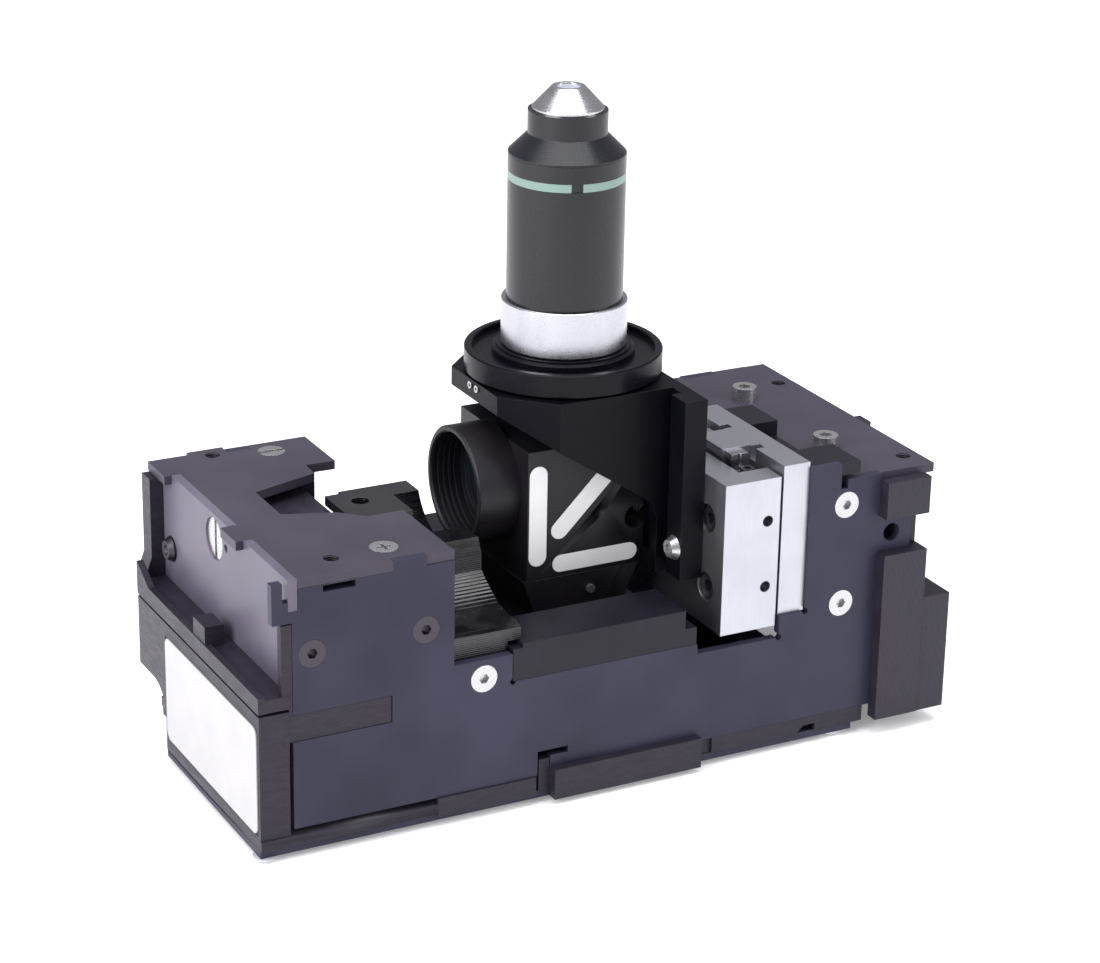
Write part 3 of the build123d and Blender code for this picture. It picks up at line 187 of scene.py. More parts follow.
def painted_plate(name, colour, warm, sheen=0.22):
    """Satin coat on the cut chassis plates, with a painted highlight that makes it paler along the edges.
    """
    f = Finish(name)
    cloud = f.grain(0.05, detail=2.0)
    fine = f.grain(6.0, detail=2.0)
    coat = f.tint(f.span(cloud, 0.3, 0.7, 0.0, 1.0), colour, warm)
    speck = f.span(fine, 0.60, 0.74, 0.0, 0.35)
    coat = f.tint(speck, coat, toned(colour, 1.5, 0.008))
    # Painted highlight: the coat turns paler near the sharp edges
    coat = f.tint(f.edge(0.16) * 0.4, coat, toned(colour, 1.8, 0.03))
    f.set(Base_Color=coat, Roughness=f.span(cloud + fine * 0.4, 0.4, 1.0, 0.34, 0.50),
          Specular_IOR_Level=sheen)
    return f.relief(fine, 0.012, 0.5, round_edge=0.14).material


def printed_layers(name, colour, layer, run, gloss, ripple=0.05, sheen=0.28):
    """Black filament print: one ridge for each layer along the axis run."""
    f = Finish(name)
    along = f.axes()[run]
    wander = f.grain(0.25, detail=1.0) * 0.10
    turn = ((along / layer + wander) * math.tau).wave()
    ridge = turn * 0.5 + 0.5
    cloud = f.grain(0.4, stretch=tuple(3.0 if i == run else 0.6 for i in range(3)))
    speck = f.span(f.grain(5.0, detail=1.0), 0.68, 0.78, 0.0, 1.0)
    body = f.tint(f.span(cloud, 0.35, 0.75, 0.0, 1.0), colour, toned(colour, 1.35, 0.003))
    body = f.tint(speck * 0.22, body, (0.12, 0.12, 0.13))
    f.set(Base_Color=body, Roughness=f.span(cloud, 0.3, 0.7, gloss, gloss + 0.16),
          Specular_IOR_Level=sheen)
    return f.relief(ridge, ripple, 0.8, round_edge=0.12).material


def anodised_black(name, colour, bare=0.3, sheen=0.26):
    """Machined and black anodised metal, with a faint mill pattern and pale broken edges."""
    f = Finish(name)
    mill = f.grain(3.0, stretch=(1.0, 1.0, 0.35), detail=2.0)
    cloud = f.grain(0.12)
    body = f.tint(f.span(cloud, 0.3, 0.7, 0.0, 1.0), colour, toned(colour, 1.6))
    body = f.tint(f.edge(0.14) * bare, body, (0.10, 0.10, 0.11))
    f.set(Base_Color=body, Roughness=f.span(mill + cloud * 0.5, 0.4, 1.1, 0.34, 0.50),
          Specular_IOR_Level=sheen)
    return f.relief(mill, 0.010, 0.5, round_edge=0.16).material


def brushed_metal(name, colour, run, gloss=0.30, lines=9.0):
    """Ground metal whose hair lines run along one axis."""
    f = Finish(name)
    stretch = tuple(0.03 if i == run else 1.0 for i in range(3))
    hair = f.grain(lines, stretch=stretch, detail=4.0, rough=0.7)
    cloud = f.grain(0.10)
    body = f.tint(f.span(hair, 0.3, 0.7, 0.0, 1.0), toned(colour, 0.86), colour)
    body = f.tint(f.span(cloud, 0.45, 0.75, 0.0, 0.25), body, toned(colour, 0.72))
    f.set(Base_Color=body, Metallic=1.0,
          Roughness=f.span(hair + cloud * 0.4, 0.4, 1.0, gloss - 0.06, gloss + 0.12))
    return f.relief(hair, 0.006, 0.6, round_edge=0.12).material


def turned_metal(name, colour, gloss, pitch, ring=False, metal=1.0, depth=0.006, sheen=0.5):
    """Lathe turned metal: fine rings that follow the height of a piece about the optical axis."""
    f = Finish(name)
    x, y, z = f.axes()
    centre = place(*OPTICAL_AXIS, 0) / MM
    if ring:
        dx = x - centre.x
        dy = y - centre.y
        height = (dx * dx + dy * dy) ** 0.5 + z
    else:
        height = z
    tool = (height / pitch * math.tau).wave() * 0.5 + 0.5
    fine = f.grain(4.0, detail=2.0)
    body = f.tint(f.span(fine + tool * 0.2, 0.4, 0.9, 0.0, 1.0), toned(colour, 0.85), colour)
    f.set(Base_Color=body, Metallic=metal, Roughness=f.span(fine, 0.35, 0.7, gloss, gloss + 0.10),
          Specular_IOR_Level=sheen)
    return f.relief(tool + fine * 0.5, depth, 0.6, round_edge=0.15).material


def screw_steel(name, colour, gloss):
    """Plated screws with a little wear on the drive and rim."""
    f = Finish(name)
    fine = f.grain(3.0, detail=3.0)
    body = f.tint(f.span(fine, 0.35, 0.7, 0.0, 1.0), toned(colour, 0.8), colour)
    body = f.tint(f.edge(0.10) * 0.3, body, toned(colour, 1.3, 0.04))
    f.set(Base_Color=body, Metallic=0.9, Roughness=f.span(fine, 0.3, 0.75, gloss, gloss + 0.10))
    return f.relief(fine, 0.002, 0.4, round_edge=0.08).material


def plain_coat(name, colour, gloss, relief=0.004, metal=0.0):
    """Smooth coat or moulded plastic with faint dust and flow marks."""
    f = Finish(name)
    fine = f.grain(2.5, detail=3.0)
    cloud = f.grain(0.15)
    body = f.tint(f.span(cloud, 0.3, 0.7, 0.0, 1.0), toned(colour, 0.93), colour)
    f.set(Base_Color=body, Metallic=metal, Roughness=f.span(fine, 0.3, 0.75, gloss, gloss + 0.1))
    return f.relief(fine, relief, 0.4, round_edge=0.1).material


def clear_material(name, colour, gloss, alpha):
    """Coated glass or clear rubber, faintly tinted."""
    f = Finish(name)
    cloud = f.grain(0.3, detail=1.0)
    body = f.tint(f.span(cloud, 0.3, 0.7, 0.0, 1.0), colour, toned(colour, 1.08))
    f.set(Base_Color=body, Roughness=f.span(cloud, 0.3, 0.7, gloss, gloss + 0.04), Alpha=alpha,
          Coat_Weight=0.6)
    return f.material


front_coat = painted_plate("front_plate_coat", (0.020, 0.0205, 0.040), (0.036, 0.035, 0.062))
# The left end plate has the same dark coat as the other plates; its paler violet colour here is a painted
# reflection
end_reflection_coat = painted_plate("end_plate_coat", (0.080, 0.070, 0.105), (0.125, 0.110, 0.150), sheen=0.5)
top_coat = painted_plate("top_plate_coat", (0.040, 0.034, 0.052), (0.054, 0.047, 0.068), sheen=0.30)
print_upright = printed_layers("print_upright_layers", (0.018, 0.015, 0.025), 0.32, 2, 0.30)
print_across = printed_layers("print_across_layers", (0.018, 0.015, 0.025), 0.32, 0, 0.30)
print_gloss = printed_layers("print_gloss_layers", (0.004, 0.004, 0.006), 0.45, 2, 0.12, sheen=0.8)
black_anodised = anodised_black("black_anodised", (0.007, 0.006, 0.011))
cube_anodised = anodised_black("cube_anodised", (0.007, 0.006, 0.009), bare=0.4, sheen=0.32)
# The bracket is anodised like the optics block; its darker colour here is painted shade
bracket_anodised = anodised_black("bracket_anodised", (0.002, 0.002, 0.004), sheen=0.12)
stage_metal = brushed_metal("stage_brushed", (0.54, 0.55, 0.60), 2, gloss=0.36)
rail_steel = brushed_metal("rail_steel", (0.50, 0.50, 0.53), 2, gloss=0.24)
ring_chrome = turned_metal("base_ring_metal", (0.58, 0.59, 0.64), 0.26, 0.30)
tip_chrome = turned_metal("tip_metal", (0.70, 0.70, 0.72), 0.20, 0.22, ring=True)
objective_coat = turned_metal("objective_coat", (0.009, 0.010, 0.015), 0.24, 0.5, metal=0.0,
                              depth=0.002, sheen=0.42)
dish_coat = turned_metal("dish_turned", (0.004, 0.0035, 0.007), 0.24, 0.35, ring=True, metal=0.0,
                         sheen=0.15)
bright_screw = screw_steel("bright_screw", (0.60, 0.60, 0.61), 0.24)
black_screw = screw_steel("black_screw", (0.075, 0.068, 0.082), 0.36)
mint_band = plain_coat("mint_band", (0.21, 0.31, 0.28), 0.34)
label_face = plain_coat("label_face", (0.48, 0.475, 0.49), 0.42, relief=0.006)
mark_print = plain_coat("mark_print", (0.84, 0.84, 0.86), 0.45, relief=0.004)
board_green = plain_coat("board_green", (0.02, 0.10, 0.05), 0.35)
lens_glass = clear_material("lens_glass", (0.62, 0.70, 0.78), 0.03, 0.55)
filter_glass = clear_material("filter_glass", (0.010, 0.012, 0.020), 0.05, 0.95)
foot_rubber = clear_material("foot_rubber", (0.70, 0.72, 0.75), 0.20, 0.65)
mirror_face = plain_coat("mirror_face", (0.85, 0.86, 0.88), 0.04, relief=0.0, metal=1.0)

FINISHES = {
    front_coat: ["front_side_plate", "back_side_plate", "right_end_plate", "base_plate"],
    end_reflection_coat: ["left_end_plate"],
    top_coat: ["left_top_plate", "right_top_plate"],
    print_upright: ["left_end_cover", "left_base_block", "middle_base_block", "right_base_strip",
                    "left_cover_frame", "driver_housing"],
    print_across: ["right_end_cover"],
    print_gloss: ["light_tube_cradle"],
    black_anodised: ["stage_mount", "optics_block", "cross_bars", "adjuster_bush", "mirror_bracket",
                     "camera_module", "objective_lens_cell"],
    bracket_anodised: ["objective_bracket", "bracket_back_plate"],
    cube_anodised: ["cube_upper_half", "cube_lower_half", "cube_base", "exciter_ring"],
    stage_metal: ["stage_fixed_block", "stage_carriage"],
    rail_steel: ["fixed_rails", "carriage_rails", "roller_cages"],
    ring_chrome: ["objective_base_ring"],
    tip_chrome: ["objective_tip"],
    objective_coat: ["objective_barrel", "objective_nose"],
    dish_coat: ["objective_dish", "objective_seat_ring"],
    bright_screw: ["silver_plate_screws", "top_plate_screws", "socket_top_screws", "adjuster_disc",
                   "bracket_screws", "centring_screws", "spring_pin"],
    black_screw: ["black_plate_screws", "rail_end_screws", "carriage_screws"],
    mint_band: ["objective_band"],
    label_face: ["label_plate"],
    mark_print: ["cube_marks"],
    board_green: ["control_board"],
    lens_glass: ["front_lens", "tube_lens"],
    filter_glass: ["dichroic_mirror", "emission_filter", "exciter_filter"],
    foot_rubber: ["rubber_feet"],
    mirror_face: ["fold_mirror"],
}
for finish, names in FINISHES.items():
    for name in names:
        piece = nodes[name]
        piece.data.materials.clear()
        piece.data.materials.append(finish)


# Repeated pieces by geometry nodes


class Shaper(Tree):
    """A geometry tree with named sizes, ending in Realize Instances and Set Material."""

    def __init__(self, name, sizes):
        group = bpy.data.node_groups.new(name, "GeometryNodeTree")
        group.is_modifier = True
        group.interface.new_socket("Geometry", in_out="INPUT", socket_type="NodeSocketGeometry")
        for label, value in sizes.items():
            whole = isinstance(value, int)
            kind = "NodeSocketInt" if whole else "NodeSocketFloat"
            item = group.interface.new_socket(label, in_out="INPUT", socket_type=kind)
            item.default_value = value
        group.interface.new_socket("Geometry", in_out="OUTPUT", socket_type="NodeSocketGeometry")
        super().__init__(group)
        self.start = group.nodes.new("NodeGroupInput")
        self.end = group.nodes.new("NodeGroupOutput")

    def size(self, label):
        return Signal(self, self.start.outputs[label])

    def close(self, shape, finish):
        solid = self.node("GeometryNodeRealizeInstances", None, {0: shape})
        dressed = self.node("GeometryNodeSetMaterial", None, {"Geometry": solid, "Material": finish})
        self.feed(self.end.inputs[0], dressed)


def grow(name, shaper, seats, body):
    """Runs a geometry tree on a mesh of seat points and keeps the result as a plain mesh."""
    seed = bpy.data.meshes.new(name + "_seats")
    seed.from_pydata([tuple(s) for s in seats], [], [])
    holder = bpy.data.objects.new(name + "_seats", seed)
    bpy.context.scene.collection.objects.link(holder)
    modifier = holder.modifiers.new("shape", "NODES")
    modifier.node_group = shaper.tree
    bpy.context.view_layer.update()
    made = bpy.data.meshes.new_from_object(holder.evaluated_get(bpy.context.evaluated_depsgraph_get()))
    bpy.data.objects.remove(holder)
    piece = bpy.data.objects.new(name, made)
    bpy.context.scene.collection.objects.link(piece)
    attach(piece, body)


def thread_shaper(finish):
    """Rings of a tapped hole, stacked down from each seat."""
    t = Shaper("tapped_thread",
               {"Hole radius": 1.62 * MM, "Wire": 0.14 * MM, "Pitch": 0.5 * MM, "Turns": 4})
    ring = t.node("GeometryNodeCurvePrimitiveCircle", {"mode": "RADIUS"},
                  {"Resolution": 28, "Radius": t.size("Hole radius")})
    wire = t.node("GeometryNodeCurvePrimitiveCircle", {"mode": "RADIUS"},
                  {"Resolution": 6, "Radius": t.size("Wire")})
    turn = t.node("GeometryNodeCurveToMesh", None, {"Curve": ring, "Profile Curve": wire})
    down = t.node("ShaderNodeCombineXYZ", None, {"Z": t.size("Pitch") * -1.0})
    stack = t.node("GeometryNodeMeshLine", {"mode": "OFFSET"},
                   {"Count": t.size("Turns"), "Offset": down})
    column = t.node("GeometryNodeInstanceOnPoints", None, {"Points": stack, "Instance": turn})
    seats = Signal(t, t.start.outputs[0])
    spread = t.node("GeometryNodeInstanceOnPoints", None, {"Points": seats, "Instance": column})
    t.close(spread, finish)
    return t


THREAD_TOP = 54.3
THREAD_SEATS = {"left_top_threads": [(14.0, 70.5), (14.0, 7.1)],
                "right_top_threads": [(150.1, 59.2), (150.1, 7.0)]}
tapped = thread_shaper(black_screw)
for name, holes in THREAD_SEATS.items():
    grow(name, tapped, [place(x, y, THREAD_TOP) for x, y in holes], "chassis")

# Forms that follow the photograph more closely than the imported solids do


def seat(axis, u, v, w):
    """Drawing point for a place (u, v) on a plane across the axis, at w along it."""
    return place(*{"x": (w, u, v), "y": (u, w, v), "z": (u, v, w)}[axis])


def prism(axis, near, far, *loops):
    """Closed solid between two planes: an outline and, after it, the outlines of its holes."""
    flat = [Vector((u, v, 0)) for loop in loops for u, v in loop]
    shape = bmesh.new()
    ends = [[shape.verts.new(seat(axis, p.x, p.y, w)) for p in flat] for w in (near, far)]
    for a, b, c in tessellate_polygon([[Vector((u, v, 0)) for u, v in loop] for loop in loops]):
        shape.faces.new((ends[0][a], ends[0][b], ends[0][c]))
        shape.faces.new((ends[1][c], ends[1][b], ends[1][a]))
    first = 0
    for loop in loops:
        for i in range(len(loop)):
            j = first + (i + 1) % len(loop)
            shape.faces.new((ends[0][first + i], ends[0][j], ends[1][j], ends[1][first + i]))
        first += len(loop)
    bmesh.ops.recalc_face_normals(shape, faces=shape.faces)
    mesh = bpy.data.meshes.new("outline")
    shape.to_mesh(mesh)
    shape.free()
    return mesh


def rect(u0, u1, v0, v1):
    return [(u0, v0), (u1, v0), (u1, v1), (u0, v1)]


def block(x0, x1, y0, y1, z0, z1):
    return prism("z", z0, z1, rect(x0, x1, y0, y1))


def ring_of(u, v, radius, sides=48, tall=1.0):
    """Round outline, drawn out along v by the factor tall."""
    turns = [math.tau * i / sides for i in range(sides)]
    return [(u + radius * math.cos(turn), v + radius * tall * math.sin(turn)) for turn in turns]


def stadium(u, v, length, half, lean):
    """Outline with two round ends, leaning by an angle in degrees."""
    reach = length / 2 - half
    along, across = math.cos(math.radians(lean)), math.sin(math.radians(lean))
    steps = 16
    points = []
    for side in (0, 1):
        for i in range(steps + 1):
            angle = -math.pi / 2 + math.pi * i / steps + math.pi * side
            a = half * math.cos(angle) + (reach if side == 0 else -reach)
            b = half * math.sin(angle)
            points.append((u + a * along - b * across, v + a * across + b * along))
    return points


def own_copy(node):
    """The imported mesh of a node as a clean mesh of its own."""
    shape = bmesh.new()
    shape.from_mesh(nodes[node].data)
    bmesh.ops.remove_doubles(shape, verts=shape.verts, dist=WELD)
    bmesh.ops.recalc_face_normals(shape, faces=shape.faces)
    mesh = bpy.data.meshes.new(node + "_copy")
    shape.to_mesh(mesh)
    shape.free()
    return mesh


def reform(node, body, base, add=(), cut=()):
    """Joins and cuts solids on a base mesh, and lets the result stand for a node, in its finish."""
    work = bpy.data.objects.new(node + "_work", base)
    bpy.context.scene.collection.objects.link(work)
    tools = []
    for operation, meshes in (("UNION", add), ("DIFFERENCE", cut)):
        for mesh in meshes:
            tool = bpy.data.objects.new(node + "_tool", mesh)
            bpy.context.scene.collection.objects.link(tool)
            step = work.modifiers.new("step", "BOOLEAN")
            step.operation = operation
            step.solver = "EXACT"
            step.object = tool
            tools.append(tool)
    bpy.context.view_layer.update()
    made = bpy.data.meshes.new_from_object(work.evaluated_get(bpy.context.evaluated_depsgraph_get()))
    for spare in tools + [work]:
        bpy.data.objects.remove(spare)
    made.materials.clear()
    made.materials.append(nodes[node].data.materials[0])
    made.polygons.foreach_set("material_index", [0] * len(made.polygons))
    made.polygons.foreach_set("use_smooth", [True] * len(made.polygons))
    made.set_sharp_from_angle(angle=SHARP_ANGLE)
    piece = bpy.data.objects.new(node + "_form", made)
    bpy.context.scene.collection.objects.link(piece)
    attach(piece, body)
    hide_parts(node)


# Upper edge of the side and end plates, tip of the fingers on it, and depth of the whole chassis
TOP = 52.65
TIP = 54.7
DEPTH = 72.8

# Places (x, z) of the front plate's screws, and the radius of their seats
PLATE_SCREW_SEAT = 3.05
PLATE_SCREWS = [(6.7, 38.1), (31.7, 38.5), (44.9, 25.0), (131.5, 48.8), (131.3, 25.9)]
FRONT_OUTLINE = [
    (2.4, 0), (57.6, 0), (57.6, 5.6), (64.8, 5.6), (64.8, 4.2), (60.6, 4.2), (60.6, 0), (148.3, 0),
    (148.3, TOP), (140.0, TOP), (140.0, TIP), (131.55, TIP), (131.55, TOP), (129.8, TOP),
    (129.8, 58.45), (122.3, 58.45), (122.3, 25.6), (115.8, 25.6), (115.8, 20.7), (95.7, 20.7),
    (95.4, 23.0), (51.4, 23.0), (51.4, 29.2), (38.0, 29.2), (38.0, TOP), (31.8, TOP), (31.8, TIP),
    (24.5, TIP), (24.5, TOP), (3.7, TOP), (3.7, 48.0), (1.55, 48.0), (1.55, 50.0), (0.4, 50.0),
    (0.4, 54.2), (-1.9, 54.2), (-1.9, 45.5), (2.4, 45.5), (2.4, 25.4), (24.2, 25.4), (24.2, 19.4),
    (2.4, 19.4)]

# Small round reliefs in the inner corners of the front plate
CORNER_RELIEFS = [(51.6, 23.0), (115.8, 20.7), (122.3, 25.6)]

# Front plate, with the round hole at the right and the slot under the left top plate
reform("front_side_plate", "chassis",
       prism("y", 0, 2.0, FRONT_OUTLINE, *[ring_of(x, z, PLATE_SCREW_SEAT) for x, z in PLATE_SCREWS],
             ring_of(143.4, 40.5, 2.05), rect(9.1, 16.2, 51.0, 52.4)),
       cut=[prism("y", -1, 3, ring_of(x, z, 0.7, 20)) for x, z in CORNER_RELIEFS])

END_OUTLINE = [
    (2.05, 0), (70.75, 0), (70.75, TOP), (62.8, TOP), (62.8, TIP), (31.3, TIP), (31.3, TOP),
    (22.8, TOP), (22.8, TIP), (0, TIP), (0, 48.05), (2.05, 48.05)]

# End plate, with the adjuster's hole, a pin hole, the hook's hole and the back screw's hole
reform("left_end_plate", "chassis",
       prism("x", 1.6, 3.6, END_OUTLINE,
             ring_of(38.9, 49.2, 4.6, 64), ring_of(32.4, 49.4, 0.9, 20),
             ring_of(9.5, 44.5, 1.0, 20, tall=1.2), ring_of(63.8, 37.5, 1.7, 24)))

# Frame over the left cover: upright lip, then ledge and lug, the back corner's foot and post, and the
# front corner's post with its tongue along the front plate
reform("left_cover_frame", "chassis",
       prism("x", -5.1, -3.6,
             [(0, 26.9), (67.8, 26.9), (67.8, 34.4), (66.0, 33.6), (61.0, 30.6), (0, 30.4)]),
       add=[block(-5.05, 1.55, 0.01, 67.75, 26.95, 29.9), block(-4.95, -0.7, 28.6, 35.0, 29.0, 34.4),
            prism("y", 67.0, 72.8, [(1.54, 26.96), (1.54, 29.8), (-3.0, 29.8), (-3.0, 26.96)]),
            prism("y", 68.0, 72.75, [(1.5, 27.0), (1.5, 52.4), (-1.5, 52.4), (-1.5, 34.4),
                                     (-3.05, 30.0), (-3.05, 27.0)]),
            block(0.0, 2.3, 0.03, 1.9, 26.92, 45.2), block(1.6, 2.35, 0.1, 1.85, 19.5, 27.1),
            block(1.65, 24.0, 0.12, 1.83, 19.52, 25.3)])

# The trough is the same on both sides of its middle, at CRADLE_MIDDLE
CRADLE_MIDDLE = 40.4
HALF_CRADLE = [(4.2, 34.6), (9.1, 34.5), (12.8, 35.2), (16.0, 36.7), (19.2, 38.5), (20.8, 39.7),
               (20.9, 43.3), (21.8, 44.8), (22.5, 46.5)]

# Trough, then the riser and flange at its left end; cut by the light tube, the foot's step and a screw
reform("light_tube_cradle", "chassis",
       prism("x", 38.2, 54.4, [(2.2, 28.2), (2.2, 34.0)] + HALF_CRADLE
             + [(2 * CRADLE_MIDDLE - y, z) for y, z in reversed(HALF_CRADLE[2:])]
             + [(70.6, 34.6), (70.6, 28.2)]),
       add=[block(38.25, 41.8, 27.8, 43.0, 45.0, 50.7), block(28.3, 41.75, 27.85, 42.95, 50.6, TOP)],
       cut=[prism("x", 41.8, 60.0, ring_of(CRADLE_MIDDLE, 51.3, 12.4, 72)),
            block(51.3, 56.0, 0, DEPTH, 20.0, 31.3),
            prism("z", 45.0, 55.0, ring_of(34.0, 37.4, 1.9, 28))])

# Upright wall, then its head, the two raised arms and the front arm's reach over the top plate
reform("stage_mount", "chassis",
       block(122.35, 126.0, 2.2, 40.2, 20.0, 54.6),
       add=[block(122.36, 131.3, 2.21, 40.19, 52.7, TIP), block(122.5, 131.3, 2.05, 11.4, 52.8, 58.5),
            block(122.5, 131.28, 29.0, 40.18, 52.72, 58.5),
            block(129.85, 134.5, 0.1, 11.38, 55.8, 58.48)],
       cut=[block(125.0, 128.0, 0, DEPTH, 22.0, 30.0)])


def shelf_outline(inset):
    """Outline of the bracket's shelf, drawn in by inset, and out by twice that towards the back plate."""
    bevel = 10.0 - inset * (2 - 2 ** 0.5)
    left = 61.95 + inset
    front = 19.4 + inset
    back = 61.4 - inset
    right = 98.55 + inset * 2
    return [(right, front), (left + bevel, front), (left, front + bevel), (left, back - bevel),
            (left + bevel, back), (right, back)]


# A column with the shelf's outline, cut by its sloping underside and hollowed. The inner corners give
# room to the filter cube when the bracket is at its lowest.
GUSSET_SLOPE = [(50.0, 20.0), (50.0, 77.9), (92.6, 49.8), (93.9, 48.75), (94.8, 47.5), (95.45, 46.0),
                (95.75, 44.4), (95.75, 20.0)]
INNER_CORNERS = (69.0, 74.0, 23.7, 57.1, 20.0, 65.5)
reform("objective_bracket", "focus_carriage",
       prism("z", 32.1, 74.2, shelf_outline(0)),
       cut=[prism("y", 10.0, 70.0, GUSSET_SLOPE),
            prism("z", 20.0, 71.1, shelf_outline(3.0)), block(*INNER_CORNERS),
            prism("z", 60.0, 80.0, ring_of(*OPTICAL_AXIS, 12.68, 72)),
            prism("x", 60.0, 66.0, ring_of(42.1, 72.9, 0.85, 20)),
            prism("x", 60.0, 66.0, ring_of(39.0, 72.9, 0.85, 20))])

# Upright plate with its front flange; the corners and the lower screw's hole are cut
reform("bracket_back_plate", "focus_carriage",
       prism("z", 33.7, 74.2, [(98.6, 15.6), (96.2, 15.6), (96.2, 9.6), (101.55, 9.6), (101.55, 61.4),
                               (98.6, 61.4)]),
       cut=[prism("y", 0.0, 16.0, [(95.0, 73.2), (98.4, 76.6), (95.0, 76.6)]),
            prism("x", 90.0, 110.0, [(50.0, 33.6), (61.5, 45.0), (61.5, 33.6)]),
            prism("x", 90.0, 110.0, ring_of(12.4, 40.5, 1.6, 24))])

# Light path marks on the cube: upright, slanting, and along the lower half
reform("cube_marks", "chassis",
       prism("y", 24.06, 24.18, stadium(69.35, 47.8, 22.8, 2.1, 90)),
       add=[prism("y", 24.06, 24.18, stadium(80.1, 49.4, 19.6, 2.05, 45)),
            prism("y", 24.21, 24.33, stadium(83.4, 36.05, 20.6, 1.95, 0))])


def loose_solids(shape):
    """The points of each loose solid in a mesh, in the mesh's own order."""
    seen = set()
    solids = []
    for start in list(shape.verts):
        if start in seen:
            continue
        seen.add(start)
        solid = []
        front = [start]
        while front:
            vert = front.pop()
            solid.append(vert)
            for edge in vert.link_edges:
                other = edge.other_vert(vert)
                if other not in seen:
                    seen.add(other)
                    front.append(other)
        solids.append(solid)
    return solids


def shifted_copy(node, touch, twin=None):
    """Copy of a node's mesh whose loose solids move by the step that touch gives for their middle.

    A solid whose step is None is left out. The solid for which twin gives a step is made a second time,
    that far away.
    """
    shape = bmesh.new()
    shape.from_mesh(nodes[node].data)
    bmesh.ops.remove_doubles(shape, verts=shape.verts, dist=WELD)
    gone = []
    for solid in loose_solids(shape):
        middle = sum((vert.co for vert in solid), Vector()) / len(solid) / MM - DATUM
        away = twin(middle) if twin else None
        if away:
            faces = list(dict.fromkeys(face for vert in solid for face in vert.link_faces))
            for item in bmesh.ops.duplicate(shape, geom=faces)["geom"]:
                if isinstance(item, bmesh.types.BMVert):
                    item.co += Vector(away) * MM
        step = touch(middle)
        if step is None:
            gone += solid
        else:
            for vert in solid:
                vert.co += Vector(step) * MM
    bmesh.ops.delete(shape, geom=gone, context="VERTS")
    bmesh.ops.recalc_face_normals(shape, faces=shape.faces)
    mesh = bpy.data.meshes.new(node + "_copy")
    shape.to_mesh(mesh)
    shape.free()
    return mesh


def move_back_foot(middle):
    """The foot at the back left stands further in, clear of the open corner."""
    return (7.6, -0.8, 0) if middle.x < 20 and middle.y > 50 else (0, 0, 0)


def drop_front_end_screw(middle):
    """The left end plate has no screw near the front.

    In the pack it crosses the front plate's first screw and the two are one solid, so both go.
    """
    return None if middle.x < 5.0 and 5.0 < middle.y < 15.0 else (0, 0, 0)


def twin_front_screw(middle):
    """The front plate's second screw is copied to the first of PLATE_SCREWS, for the dropped one."""
    return (-25.0, 0, -0.4) if 20 < middle.x < 40 and middle.y < 10 else None


reform("rubber_feet", "chassis", shifted_copy("rubber_feet", move_back_foot))
reform("black_plate_screws", "chassis",
       shifted_copy("black_plate_screws", drop_front_end_screw, twin_front_screw))

# Round notch in the cube's lower half
reform("cube_lower_half", "chassis", own_copy("cube_lower_half"),
       cut=[prism("y", 23.0, 29.0, ring_of(93.3, 43.8, 2.7, 36))])

# The back left corner of the base is open
OPEN_CORNER = (-8.0, 1.6, 52.4, 80.0, -8.0, 1.0)
for node, slot_name in (("left_base_block", "printed_black"), ("base_plate", "painted_plate")):
    reform(node, "chassis", own_copy(node), cut=[block(*OPEN_CORNER)])

# Floor, light and camera

# Half the side of the floor, and how far it lies below the feet, in metres
FLOOR_REACH = 3.0
FLOOR_DROP = 0.0002


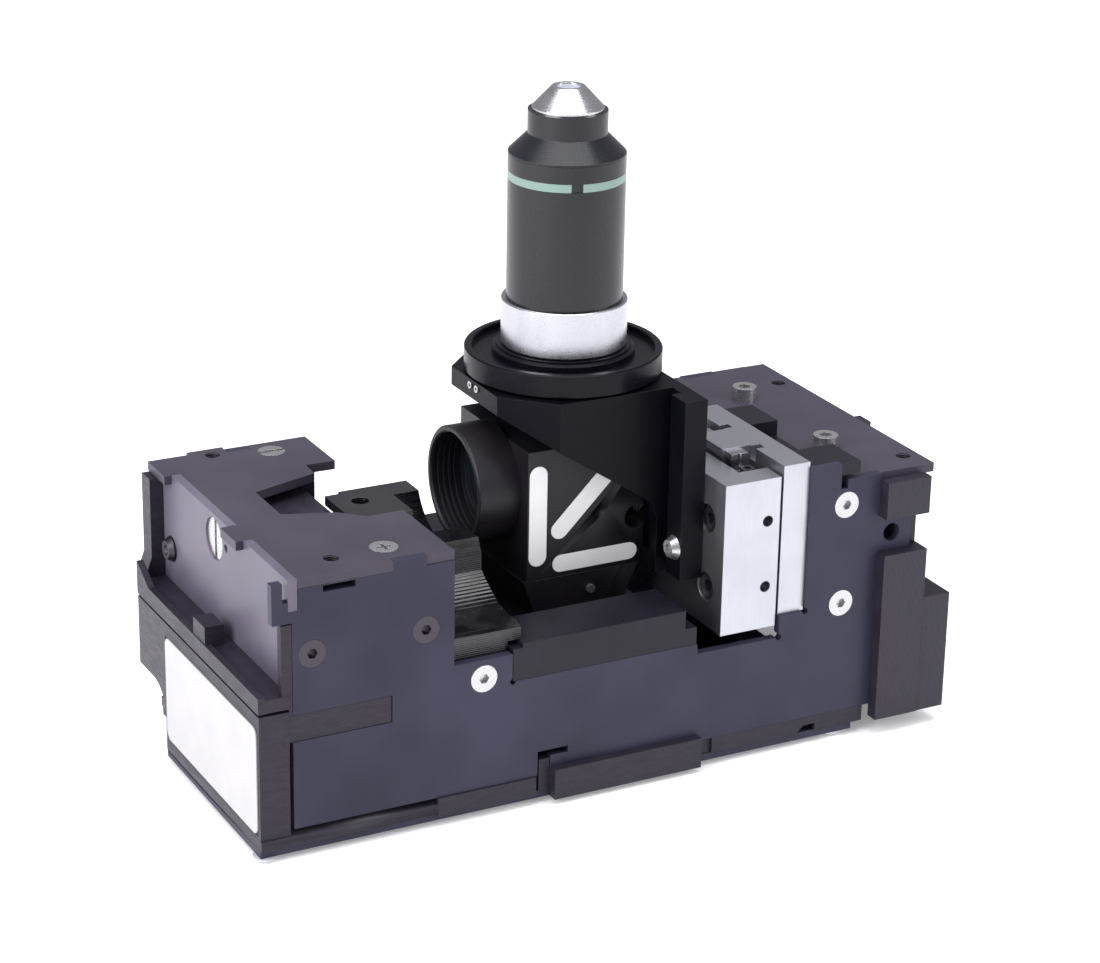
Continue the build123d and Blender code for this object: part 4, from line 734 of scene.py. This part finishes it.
def studio():
    """Pale floor under a white surround, dimmer and faintly violet where it isn't seen directly."""
    sheet = bpy.data.meshes.new("studio_floor")
    corners = [(-1, -1), (1, -1), (1, 1), (-1, 1)]
    sheet.from_pydata([(x * FLOOR_REACH, y * FLOOR_REACH, 0) for x, y in corners], [], [(0, 1, 2, 3)])
    floor = bpy.data.objects.new("studio_floor", sheet)
    floor.location.z = -FLOOR_DROP
    bpy.context.scene.collection.objects.link(floor)
    f = Finish("floor_paper")
    f.set(Base_Color=(0.90, 0.90, 0.91), Roughness=0.8, Emission_Color=(1.0, 1.0, 1.0),
          Emission_Strength=0.22, Specular_IOR_Level=0.1)
    sheet.materials.append(f.material)

    world = bpy.data.worlds.new("white_surround")
    bpy.context.scene.world = world
    world.use_nodes = True
    w = Tree(world.node_tree)
    world.node_tree.nodes.clear()
    path = w.tree.nodes.new("ShaderNodeLightPath")
    seen = Signal(w, path.outputs["Is Camera Ray"])
    glossy = Signal(w, path.outputs["Is Glossy Ray"])
    through = Signal(w, path.outputs["Is Transmission Ray"])
    shown = w.node("ShaderNodeMath", {"operation": "MAXIMUM"}, {0: seen, 1: through})
    strength = 0.55 + shown * 0.45 - glossy * 0.20
    colour = w.node("ShaderNodeMix", {"data_type": "RGBA"},
                    {0: shown, 6: (0.97, 0.94, 1.0, 1), 7: (1, 1, 1, 1)}, output=2)
    back = w.node("ShaderNodeBackground", None, {"Color": colour, "Strength": strength})
    out = w.tree.nodes.new("ShaderNodeOutputWorld")
    w.tree.links.new(back.socket, out.inputs[0])


def lamp(name, at, aim, size, power):
    """A large soft lamp at one place, turned towards another, in metres and watts."""
    data = bpy.data.lights.new(name, "AREA")
    data.shape = "RECTANGLE"
    data.size, data.size_y = size
    data.energy = power
    holder = bpy.data.objects.new(name, data)
    holder.location = at
    holder.rotation_mode = "QUATERNION"
    holder.rotation_quaternion = (Vector(aim) - Vector(at)).to_track_quat("-Z", "Y")
    bpy.context.scene.collection.objects.link(holder)


studio()
lamp("soft_left", (-0.75, -0.15, 0.45), (0, 0, 0.05), (0.7, 0.7), 7.0)
lamp("soft_above", (0.0, 0.0, 0.85), (0, 0, 0), (0.8, 0.8), 7.0)
lamp("soft_right", (0.6, -0.5, 0.4), (0, 0, 0.05), (0.4, 0.6), 2.5)

# Photograph's camera: place in the drawing datum, direction and lens found by fitting it
CAMERA_AT = (-214.687, -517.221, 295.150)
CAMERA_TURN = math.radians(27.91)
CAMERA_TILT = math.radians(21.37)
CAMERA_ROLL = math.radians(1.09)
CAMERA_LENS = 101.62


def photograph_camera():
    """Camera at the photograph's viewpoint."""
    back = Vector((-math.sin(CAMERA_TURN) * math.cos(CAMERA_TILT),
                   -math.cos(CAMERA_TURN) * math.cos(CAMERA_TILT), math.sin(CAMERA_TILT)))
    right = Vector((math.cos(CAMERA_TURN), -math.sin(CAMERA_TURN), 0))
    up = back.cross(right)
    across = right * math.cos(CAMERA_ROLL) + up * math.sin(CAMERA_ROLL)
    upward = up * math.cos(CAMERA_ROLL) - right * math.sin(CAMERA_ROLL)
    data = bpy.data.cameras.new("photograph")
    data.lens = CAMERA_LENS
    data.sensor_width = 36.0
    data.clip_start = 0.01
    data.clip_end = 50.0
    camera = bpy.data.objects.new("photograph", data)
    turn = Matrix((across, upward, back)).transposed().to_4x4()
    camera.matrix_world = Matrix.Translation(place(*CAMERA_AT)) @ turn
    bpy.context.scene.collection.objects.link(camera)
    bpy.context.scene.camera = camera


photograph_camera()
bpy.context.scene.view_settings.view_transform = "Standard"
